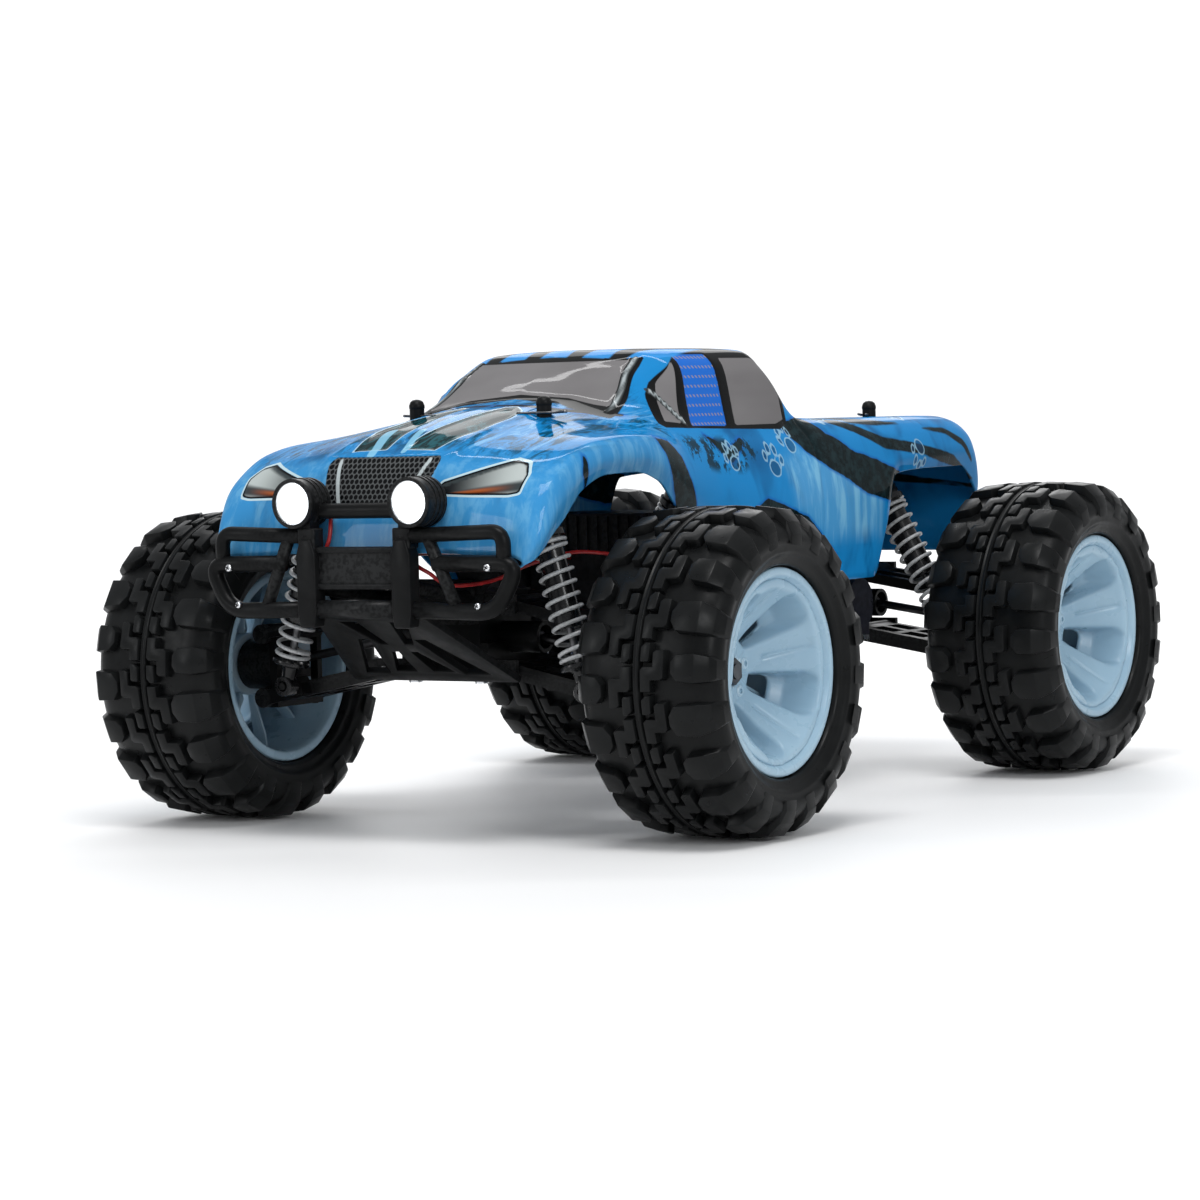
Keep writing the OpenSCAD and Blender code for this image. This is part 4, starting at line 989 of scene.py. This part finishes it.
def shell_fields(pos, nor):
    """Printed artwork as distance fields in mm over the shell."""
    x, y, z = pos[..., 0], pos[..., 1], pos[..., 2]
    ax = np.abs(x)
    f = {}
    far = np.full(x.shape, 40.0)
    on_side = (np.abs(nor[..., 0]) > 0.30) & (ax > 36)
    cab = [(-49.5, 185.6), (-75.5, 173.8), (-80.8, 168.8), (-86.5, 157.4), (-84, 155.6), (4.0, 153.4), (12.5, 156.0),
           (15.6, 167.5), (8.6, 184.0), (4.0, 186.0)]

    def flank(outline):
        return np.where(on_side, poly_sdf(y, z, outline), far)

    pane1 = [(-56.2, 182.6), (-72.2, 173.6), (-76.6, 168.4), (-81.0, 158.2), (-71.4, 157.2), (-64.6, 168.6)]
    pane2 = [(-23.6, 183.4), (2.6, 183.4), (7.4, 181.2), (12.4, 167.6), (10.2, 157.6), (2.2, 155.8), (-30.6, 155.9)]
    strip = [(-52.0, 185.2), (-30.2, 185.2), (-37.4, 155.6), (-64.6, 156.2)]
    # windscreen, seen from the front
    wf = (y < -56) & (z > 158) & (nor[..., 1] < -0.06)
    half_out = [(38.8, 187.0), (42.6, 178.0), (44.9, 170.6), (48.6, 163.6), (52.0, 159.6), (40, 162.2), (24, 166.2)]
    half_in = [(36.4, 183.2), (38.6, 176.4), (41.6, 168.4), (44.2, 164.4), (38, 165.4), (24, 168.4)]
    ws_out = [(-a, b) for a, b in half_out] + [(0, 168.4)] + half_out[::-1]
    ws_in = [(-a, b) for a, b in half_in] + [(0, 170.4)] + half_in[::-1]
    frame_f = np.where(wf, poly_sdf(x, z, ws_out), far)
    pane_f = np.where(wf, poly_sdf(x, z, ws_in), far)
    wr = (y > 2) & (y < 30) & (nor[..., 1] > 0.06) & (z > 158)
    rw_out = [(-50, 185.5), (-54, 160.0), (54, 160.0), (50, 185.5)]
    rw_in = [(-44, 182.5), (-49.5, 163.2), (49.5, 163.2), (44, 182.5)]
    frame_r = np.where(wr, poly_sdf(x, z, rw_out), far)
    pane_r = np.where(wr, poly_sdf(x, z, rw_in), far)
    roof = np.where((z > 150) & (y > -66) & (y < 12), -(z - 184.6) * 1.2, far)
    f["d_frame"] = np.minimum.reduce([flank(cab), frame_f, frame_r, roof])
    f["d_pane"] = np.minimum.reduce([flank(pane1), flank(pane2), pane_f, pane_r])
    f["d_strip"] = flank(strip)
    f["strip_u"] = y + (z - 156) * 0.42
    f["strip_v"] = z - 156.0
    bar = line_sdf(y, z, [(-78, 170.5), (-69.5, 157.8)], [1.4, 1.4])
    edge = [(37.6, 183.6), (40.4, 175.6), (43.2, 168.0), (46.2, 162.8)]
    post = np.where(wf, line_sdf(ax, z, edge, [1.0, 1.1, 1.1, 0.9]), far)
    f["d_cage"] = np.minimum(np.where(on_side, bar, far), post)
    bars = []
    for c in (-41, -20.5, 0, 20.5, 41):
        bars.append(poly_sdf(x, y, [(c - 6.5, -70), (c + 6.5, -70), (c + 4.0, -44), (c + 1.5, -22), (c - 1.5, -30),
                                    (c - 4.0, -46)]))
        bars.append(poly_sdf(x, y, [(c - 1.0, -14), (c + 3.0, -6), (c + 6.5, 14), (c - 6.5, 14), (c - 3.5, -2)]))
    f["d_roofbar"] = np.where(z > 183.6, np.minimum.reduce(bars), far)
    # grille and lamps on the nose
    nose = (y < -176) & (nor[..., 1] < -0.1)
    grille = [(-23.8, 145.4), (-20.2, 129.1), (20.2, 129.1), (23.8, 145.4)]
    f["d_grille"] = np.where(nose, poly_sdf(x, z, grille) - 2.7, far)
    f["d_gbar"] = np.where(nose, np.minimum(line_sdf(x, z, [(-21.6, 147), (-15.5, 126)], [0.85, 0.8]),
                                            line_sdf(x, z, [(20.8, 147), (13.0, 126)], [0.85, 0.8])), far)
    lamp = [(27.6, 134.8), (31.5, 138.4), (57.4, 145.6), (63.4, 144.2), (66.6, 140.2), (66.2, 133.6), (62.0, 132.9),
            (45, 133.2), (31, 133.8)]
    nose2 = (y < -168) & (z > 126)
    f["d_lamp"] = np.where(nose2, poly_sdf(ax, z, lamp), far)
    f["lamp_u"] = np.clip((ax - 28) / 38.0, 0, 1)
    f["lamp_v"] = np.clip((z - 133.0) / np.maximum(3.0, (ax - 28) * 0.33 + 2.0), 0, 1)
    # hood
    scoop = [(4.0, -181.5), (6.0, -150), (9.0, -118.5), (13.5, -116.8), (20.0, -123.5), (24.2, -137), (25.4, -158),
             (19.5, -182.5)]
    up = nor[..., 2] > 0.4
    f["d_slash"] = np.where(up, np.minimum(line_sdf(x, y, [(-16.8, -160), (-8.4, -185.4)], [2.4, 1.8]),
                                           line_sdf(x, y, [(0.2, -163), (5.6, -183.5)], [1.7, 1.2])), far)
    f["d_scoop"] = np.where(up & (y < -108), poly_sdf(ax, y, scoop), far)
    hood = smooth01(y, -190, -172) * (1 - smooth01(y, -92, -78)) * smooth01(nor[..., 2], 0.35, 0.75)
    f["f_hood"] = hood * (1 - 0.75 * smooth01(ax, 62, 72))
    pale = (1 - smooth01(y, -110, -84)) * smooth01(np.abs(nor[..., 0]) + np.abs(nor[..., 1]), 0.4, 0.9)
    door = flank([(20, 151), (72, 127), (70, 106), (24, 104), (-4, 118), (-8, 142)])
    f["f_pale"] = np.clip(0.55 * pale + 1.0 * smooth01(-door, -3.0, 8.0), 0, 1)
    # dark shapes on the flanks
    dark = [
        poly_sdf(y, z, [(-112.8, 152.6), (-100, 150.6), (-91.5, 144.5), (-84, 127), (-80, 112), (-92, 112),
                        (-101, 131), (-108, 146.0)]),
        line_sdf(y, z, [(-167, 146), (-168, 141), (-166, 136)], [0.8, 1.7, 0.5]),
        poly_sdf(y, z, [(-52, 116.0), (-26, 126.0), (6, 117.0), (30, 100), (20, 90), (-40, 90)]),
        line_sdf(y, z, [(-60, 152.5), (-47, 143.5), (-33, 149.5)], [0.6, 2.6, 1.2]),
        poly_sdf(y, z, [(4, 157), (28, 157.6), (34, 150.6), (51.7, 143.3), (76.9, 136.6), (90, 134), (85, 122),
                        (76, 121.5), (57, 125), (30, 135.8), (13, 144.5), (6.5, 151)]),
    ]
    f["d_dark"] = np.where(ax > 40, np.minimum.reduce(dark), far)
    cowl = poly_sdf(ax, y, [(0, -112), (20, -110), (30, -108), (46, -101), (55, -96), (55, -104), (30, -116),
                            (0, -119)])
    f["d_dark"] = np.minimum(f["d_dark"], np.where(up, cowl + 1.5, far))
    f["d_splat"] = flank([(-84, 153), (-20, 151), (-24, 143), (-40, 136), (-62, 137), (-80, 141)])
    # waves along the bed, carried over its edge
    s = np.where(z > 154.8, 154.8 + (60 - np.minimum(ax, 60)) * 0.9, z)
    wave = [
        ([(38, 157), (59, 152.6), (80, 145.6), (112, 142.2), (142, 137), (166, 128)], [0.8, 2.0, 2.7, 2.2, 2.4, 0.8]),
        ([(40, 163), (62, 156.5), (84, 154.0), (104, 153.4)], [2.6, 1.9, 1.3, 0.2]),
        ([(120, 151.0), (140, 149.6), (154, 144.0), (163, 136.0)], [0.3, 1.5, 1.8, 0.5]),
        ([(22, 178), (50, 169), (84, 164), (120, 166), (160, 160)], [3.6, 3.4, 2.2, 3.0, 0.8]),
        ([(20, 196), (60, 186), (110, 180), (150, 186), (172, 182)], [4.0, 4.4, 3.2, 4.2, 1.2]),
        ([(30, 212), (70, 203), (120, 204), (170, 206)], [2.6, 4.6, 3.6, 3.0]),
    ]
    w = np.minimum.reduce([line_sdf(y, s, p, q) for p, q in wave])
    f["d_wave"] = np.where((y > 18) & (y < 172), w, far)
    tail = np.minimum.reduce([line_sdf(x, z, [(-66, 146 + k), (-30, 141 + k), (10, 146 + k), (66, 140 + k)],
                                       [1.0, 2.6, 2.0, 0.8]) for k in (-16, -6, 4)])
    f["d_wave"] = np.where((y > 160) & (nor[..., 1] > 0.5), tail, f["d_wave"])
    paws = [(3.5, 149.0, 6.2, 20), (-14, 140.5, 7.0, -10), (-46, 143.0, 6.0, 15), (43, 160.0, 6.4, 60),
            (112, 160.0, 6.4, 40), (70, 176, 7.0, 100), (140, 174, 7.0, 10), (100, 197, 7.0, 70),
            (108, 141.0, 6.4, 150)]
    pd = far
    for cy, cz, r, rot in paws:
        c, si = math.cos(math.radians(rot)), math.sin(math.radians(rot))
        u = ((y - cy) * c + (s - cz) * si) / r
        v = (-(y - cy) * si + (s - cz) * c) / r
        for ox, oy, rx, ry in ((0, -0.42, 0.56, 0.46), (-0.86, 0.20, 0.20, 0.30), (-0.33, 0.72, 0.21, 0.33),
                               (0.33, 0.72, 0.21, 0.33), (0.86, 0.20, 0.20, 0.30)):
            e = (np.hypot((u - ox) / rx, (v - oy) / ry) - 1) * min(rx, ry) * r
            pd = np.minimum(pd, e)
    f["d_paw"] = np.where((ax > 8) & (y > -70), pd, far)
    return f


def shell_object():
    pos = build_shell()
    rows, nc = pos.shape[:2]
    di = np.gradient(pos, axis=0)
    dj = np.gradient(pos, axis=1)
    nor = np.cross(di, dj)
    nor /= np.maximum(np.linalg.norm(nor, axis=2, keepdims=True), 1e-9)
    f = shell_fields(pos, nor)
    ax = np.abs(pos[..., 0])
    y = pos[..., 1]
    low = -0.3 * smooth01(-f["d_pane"], -0.5, 1.8)
    low -= 0.45 * smooth01(-f["d_strip"], -0.3, 0.6)
    low -= 0.9 * smooth01(-f["d_grille"], -0.2, 1.2)
    low += 0.7 * smooth01(-f["d_cage"], -0.2, 0.8)
    up = smooth01(nor[..., 2], 0.4, 0.8)
    ridge = np.exp(-((ax - (28 - 0.06 * (y + 185))) / 1.9) ** 2) * ((y > -186) & (y < -108))
    low += 0.5 * ridge * up
    low -= 0.5 * smooth01(-f["d_scoop"], -0.3, 2.0)
    seam = np.exp(-((y - 20.0) / 0.8) ** 2) * (ax > 60)
    low -= 0.35 * seam
    pos = pos + nor * low[..., None]
    verts = [(p[0], p[1] + Y_SHIFT, p[2]) for p in pos.reshape(-1, 3)]
    posts = [(sx * px, py) for px, py, _ in BODY_POSTS.values() for sx in (1, -1)]
    faces = []
    for i in range(rows - 1):
        for j in range(nc - 1):
            c = (pos[i, j] + pos[i + 1, j + 1]) / 2
            if c[2] > 150 and any(math.hypot(c[0] - a, c[1] - b) < 3.2 for a, b in posts):
                continue
            faces.append((i * nc + j, i * nc + j + 1, (i + 1) * nc + j + 1, (i + 1) * nc + j))
    me = bpy.data.meshes.new("body_shell_look")
    me.from_pydata([tuple(c * MM for c in v) for v in verts], [], faces)
    me.update()
    me.polygons.foreach_set("use_smooth", [True] * len(me.polygons))
    for name, v in f.items():
        at = me.attributes.new(name, "FLOAT", "POINT")
        at.data.foreach_set("value", np.ascontiguousarray(v.reshape(-1), dtype=np.float32))
    ob = bpy.data.objects.new("body_shell_look", me)
    bpy.context.scene.collection.objects.link(ob)
    s = ob.modifiers.new("wall", "SOLIDIFY")
    s.thickness = 1.1 * MM
    s.offset = -1
    apply_mods(ob)
    return ob


shell = shell_object()
paint(shell, MAT["shell"])
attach(shell, "chassis")
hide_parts("body_shell")


# ---------------------------------------------------------------- lamps and leads

LAMP = (27.6, -200.0, 131.8)
for side, sx in SIDES.items():
    r = 9.5
    bowl = lathe(f"lamp_reflector_{side}", [(0.0, -4.6), (1.9, -4.6), (2.2, -4.9), (4.2, -5.8), (6.2, -7.8),
                                            (7.5, -10.2), (8.05, -11.8), (8.15, -11.8)], 48, "y")
    led = lathe(f"lamp_led_{side}", [(0.0, -7.4), (0.7, -7.25), (1.3, -6.7), (1.55, -5.9), (1.6, -4.7)], 24, "y")
    lens = lathe(f"lamp_lens_{side}", [(0.0, -12.35), (3.0, -12.3), (6.0, -12.0), (8.0, -11.4), (8.1, -10.9),
                                       (6.0, -11.3), (3.0, -11.6), (0.0, -11.7)], 48, "y")
    bezel = lathe(f"lamp_bezel_{side}", [(8.15, -11.0), (8.15, -12.1), (8.6, -12.45), (9.2, -12.45), (9.65, -12.0),
                                         (9.7, -10.6), (9.5, -10.2), (9.5, -9.6)], 60, "y")
    fins = []
    for k in range(3):
        y0 = -1.0 - 2.6 * k
        fin = lathe(f"lamp_fin_{side}{k}", [(9.4, y0), (9.85, y0 - 0.1), (9.85, y0 - 1.0), (9.4, y0 - 1.1)], 48, "y")
        fins.append(fin)
    ring = join(f"lamp_bezel_{side}", [bezel] + fins)
    soften(ring, 40)
    for ob, mat, sl in ((bowl, "chrome", "steel"), (led, "glow", "white_plastic"), (lens, "lens", "white_plastic"),
                        (ring, "black", "black_plastic")):
        shift(ob, LAMP[0] * sx, LAMP[1] + Y_SHIFT, LAMP[2])
        paint(ob, MAT[mat])
        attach(ob, "chassis")

for side, s in SIDES.items():
    route = [(s * 27.6, -203.6, 131.8), (s * 27.4, -199.4, 131.5), (s * 23.5, -198.9, 130), (s * 19, -199.6, 127),
             (s * 17.2, -201.8, 123.2), (s * 17.5, -203.2, 116.5), (s * 23, -203.2, 108.5), (s * 29.5, -202.4, 104.5),
             (s * 33, -194, 99.5), (s * 37, -172, 100), (s * 39, -150, 105), (s * 34, -112, 108),
             (34 if s > 0 else 4, -84, 106), (30 if s > 0 else 8, -74.6, 104)]
    ob = tube(f"lamp_lead_{side}", [(a, b + Y_SHIFT, c) for a, b, c in spline(route, 6)], 0.8, 10)
    paint(ob, MAT["cable"])
    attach(ob, "chassis")
    if s > 0:
        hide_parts("lamp_leads")


# ---------------------------------------------------------------- bumper

PLATE_Z = 60.0
SKID_CUTS = [[(4, -8), (3, -24), (6, -24), (14, -8)], [(18, -6), (11, -34), (16, -34), (30, -6)],
             [(4, -30), (8, -48), (16, -48), (8, -30)]]


def screw(name, x, y, z, r=1.5):
    """Pan-head screw facing forwards, with a cross recess."""
    head = lathe(name, [(0.0, -0.75), (r * 0.55, -0.7), (r * 0.9, -0.35), (r, 0.1), (r, 0.6)], 24, "y")
    bars = [prism(f"{name}_bar{k}", rect(-0.22, 0.22, -r * 0.6, r * 0.6), -0.86, -0.5, 0.0, "y") for k in range(2)]
    bars[1].data.transform(Matrix.Rotation(math.pi / 2, 4, "Y"))
    soften(head, 40)
    recess = join(name + "_recess", bars)
    for ob, mat in ((head, "steel"), (recess, "case")):
        ob.data.transform(Matrix.Rotation(0.5, 4, "Y"))
        shift(ob, x, y + Y_SHIFT, z)
        paint(ob, MAT[mat])
        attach(ob, "chassis")


def bumper_look():
    """Moulded bar: two round-cornered loops a side between flat uprights, cross panel and slotted skid plate."""
    parts = []
    for sx in (1, -1):
        def way(pts):
            return [(x * sx, y, z) for x, y, z in pts]
        upright = ((19, 84), (26, 84), (27, 90), (27, 112), (25, 118), (20, 118), (18, 112), (18, 90))
        plate = prism("upright", [(x * sx, z) for x, z in upright], -212, -205, 0.9, "y", 3)
        block = prism("block", rect(18.5 * sx, 26.5 * sx, 114, 122.2), -211, -204.5, 0.8, "y", 3)
        low_way = way([(20, -208, 91), (63.5, -207, 90), (73.4, -206.5, 108.4), (36, -207.5, 108.5)])
        top_way = way([(22, -208.2, 119), (66.8, -206.6, 120.4), (66.9, -206.5, 108.8)])
        low = tube("loop_low", fillet(low_way, 8.5, 12), 3.2, 20)
        top = tube("loop_top", fillet(top_way, 7.0, 12), 2.9, 20)
        strut = tube("strut", way([(32.6, -207.8, 119.6), (45.4, -207.2, 91)]), 2.5, 18)
        stay = tube("stay", way([(22.5, -208, 100), (17, -160, 92)]), 3.0, 18)
        parts += [plate, block, low, top, strut, stay]
    panel = prism("panel", rect(-20, 20, 98.5, 115), -209, -206, 0.6, "y", 3)
    ribs = [prism("rib", rect(-19.5, 19.5, z - 1.0, z + 1.0), -210.1, -208.5, 0.45, "y") for z in (99.8, 113.7)]
    bar = tube("cross_bar", [(-20, -208, 91), (20, -208, 91)], 3.6, 24)
    foot = prism("foot", rect(-20, 20, 86, 100), -162.5, -158.8, 0.6, "y")
    skid = prism("skid", [(-40, 0), (-25, -56), (25, -56), (40, 0)], -1.5, 1.5, 0.0)
    cutters = []
    for sx in (1, -1):
        for cut in SKID_CUTS:
            cutters.append(prism("cut", [(x * sx, y) for x, y in cut], -4, 4, 0.0))
    cutter = join("cutters", cutters)
    b = skid.modifiers.new("slots", "BOOLEAN")
    b.object = cutter
    b.operation = "DIFFERENCE"
    b.solver = "EXACT"
    apply_mods(skid)
    bpy.data.objects.remove(cutter)
    bevel(skid, 0.4, 2, 40)
    apply_mods(skid)
    soften(skid, 30)
    skid.data.transform(Matrix.Translation(Vector((0, -158.6 * MM, (PLATE_Z + 1) * MM)))
                        @ Matrix.Rotation(math.radians(-32.5), 4, "X"))
    ob = join("front_bumper_look", parts + [panel, bar, foot, skid] + ribs)
    shift(ob, 0, Y_SHIFT, 0)
    paint(ob, MAT["bumper"])
    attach(ob, "chassis")
    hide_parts("front_bumper")


bumper_look()
for sx in (1, -1):
    tag = "left" if sx > 0 else "right"
    screw(f"bumper_screw_top_{tag}", 61.5 * sx, -210.2, 107.0)
    screw(f"bumper_screw_low_{tag}", 57.0 * sx, -210.6, 92.6, 1.3)


# ---------------------------------------------------------------- body clips and screws

def clip(name, x, y, z, turn):
    """Thin spring-wire R clip through a body post."""
    pts = [(-9.5, 0, 0.2), (-2, 0, 0), (9.0, 0, 0), (10.6, 1.6, 0), (9.0, 3.2, 0), (4.4, 2.6, 0), (1.5, 3.4, 0),
           (-2.5, 3.4, 0), (-6.0, 2.4, 0), (-9.0, 3.4, 0.4)]
    m = Matrix.Rotation(turn, 3, "Z")
    pts = [m @ Vector(p) + Vector((x, y + Y_SHIFT, z)) for p in spline(pts, 6)]
    ob = tube(name, pts, 0.55, 8)
    paint(ob, MAT["dark_steel"])
    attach(ob, "chassis")


CLIPS = {("front", "left"): (163.9, 195), ("front", "right"): (163.9, -20),
         ("rear", "left"): (158.3, 110), ("rear", "right"): (158.3, 70)}
for (end, side), (clip_z, degrees) in CLIPS.items():
    px, py, _ = BODY_POSTS[end]
    clip(f"body_clip_{end}_{side}", px * SIDES[side], py, clip_z, math.radians(degrees))

for end, (px, py, pz) in BODY_POSTS.items():
    for side, sx in SIDES.items():
        cap = lathe(f"post_cap_{end}_{side}", [(0.0, 0.0), (1.6, -0.25), (2.6, -1.0), (3.15, -2.4), (3.2, -3.4),
                                               (3.0, -3.9)], 32, "z")
        shift(cap, px * sx, py + Y_SHIFT, pz)
        paint(cap, MAT["black"])
        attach(cap, "chassis")


# ---------------------------------------------------------------- floor, light, camera

def stage_material(name, colour, rough):
    m, n = material(name, rough)
    v = n.noise(n.pos(), 3, 3)
    n.link(n.mix(n.step(v, 0.3, 0.7), tuple(c * 0.985 for c in colour), colour), n.bsdf.inputs["Base Color"])
    return m


def floor_sheet():
    """Pale sweep: flat under the truck, curving up behind it."""
    prof = [(-3.2, 0.0), (1.6, 0.0)]
    for k in range(1, 13):
        a = math.pi / 2 * k / 12
        prof.append((1.6 + 1.2 * math.sin(a), 1.2 - 1.2 * math.cos(a)))
    prof.append((2.8, 1.6))
    yaw = math.radians(33.4)
    fx, fy = -math.sin(yaw), math.cos(yaw)
    rx, ry = math.cos(yaw), math.sin(yaw)
    verts, faces = [], []
    for d, h in prof:
        for w in (-6.0, 6.0):
            verts.append((fx * d + rx * w, fy * d + ry * w, h))
    for i in range(len(prof) - 1):
        faces.append((i * 2, i * 2 + 1, i * 2 + 3, i * 2 + 2))
    ob = make_mesh("floor", verts, faces, True, 1.0)
    paint(ob, stage_material("floor_paper", (0.90, 0.90, 0.90), 0.55))


floor_sheet()


def area_light(name, loc, target, size, power, colour=(1, 1, 1), size_y=None):
    d = bpy.data.lights.new(name, "AREA")
    d.energy = power
    d.color = colour
    d.size = size
    if size_y:
        d.shape = "RECTANGLE"
        d.size_y = size_y
    o = bpy.data.objects.new(name, d)
    bpy.context.scene.collection.objects.link(o)
    o.location = loc
    o.rotation_mode = "QUATERNION"
    o.rotation_quaternion = (Vector(target) - Vector(loc)).to_track_quat("-Z", "Y")
    return o


DAYLIGHT = (0.97, 0.99, 1.0)
TRUCK = (0, 0, 0.1)
area_light("key_top", (0.35, -0.55, 1.5), (0, 0, 0.08), 0.8, 14, size_y=0.5)
area_light("front_left", (1.5, -0.9, 0.85), TRUCK, 0.45, 7, DAYLIGHT, 0.5)
area_light("front_right", (-0.9, -1.5, 0.6), TRUCK, 0.35, 3.5, DAYLIGHT, 0.7)
area_light("back", (-0.8, 1.4, 1.0), TRUCK, 0.8, 5)
area_light("backdrop", (-0.55, 0.83, 1.7), (-1.4, 2.1, 0.1), 1.6, 26, size_y=0.5)

world = bpy.data.worlds.new("studio")
bpy.context.scene.world = world
world.use_nodes = True
bg = world.node_tree.nodes["Background"]
bg.inputs[0].default_value = (0.95, 0.97, 1.0, 1)
bg.inputs[1].default_value = 0.5

cam_data = bpy.data.cameras.new("camera")
cam = bpy.data.objects.new("camera", cam_data)
bpy.context.scene.collection.objects.link(cam)
bpy.context.scene.camera = cam
cam_data.sensor_width = 36.0
cam_data.lens = 115.3
yaw, pitch, roll = math.radians(33.414), math.radians(-2.932), -0.0295
fwd = Vector((-math.sin(yaw) * math.cos(pitch), math.cos(yaw) * math.cos(pitch), math.sin(pitch)))
right = Vector((math.cos(yaw), math.sin(yaw), 0))
upv = right.cross(fwd)
r2 = right * math.cos(roll) + upv * math.sin(roll)
u2 = upv * math.cos(roll) - right * math.sin(roll)
cam.matrix_world = Matrix((
    (r2.x, u2.x, -fwd.x, 0.88409),
    (r2.y, u2.y, -fwd.y, -1.38107 + Y_SHIFT * MM),
    (r2.z, u2.z, -fwd.z, 0.16699),
    (0, 0, 0, 1)))
cam_data.clip_start = 0.05
cam_data.clip_end = 30

bpy.context.scene.view_settings.view_transform = "Standard"
bpy.context.scene.view_settings.look = "None"
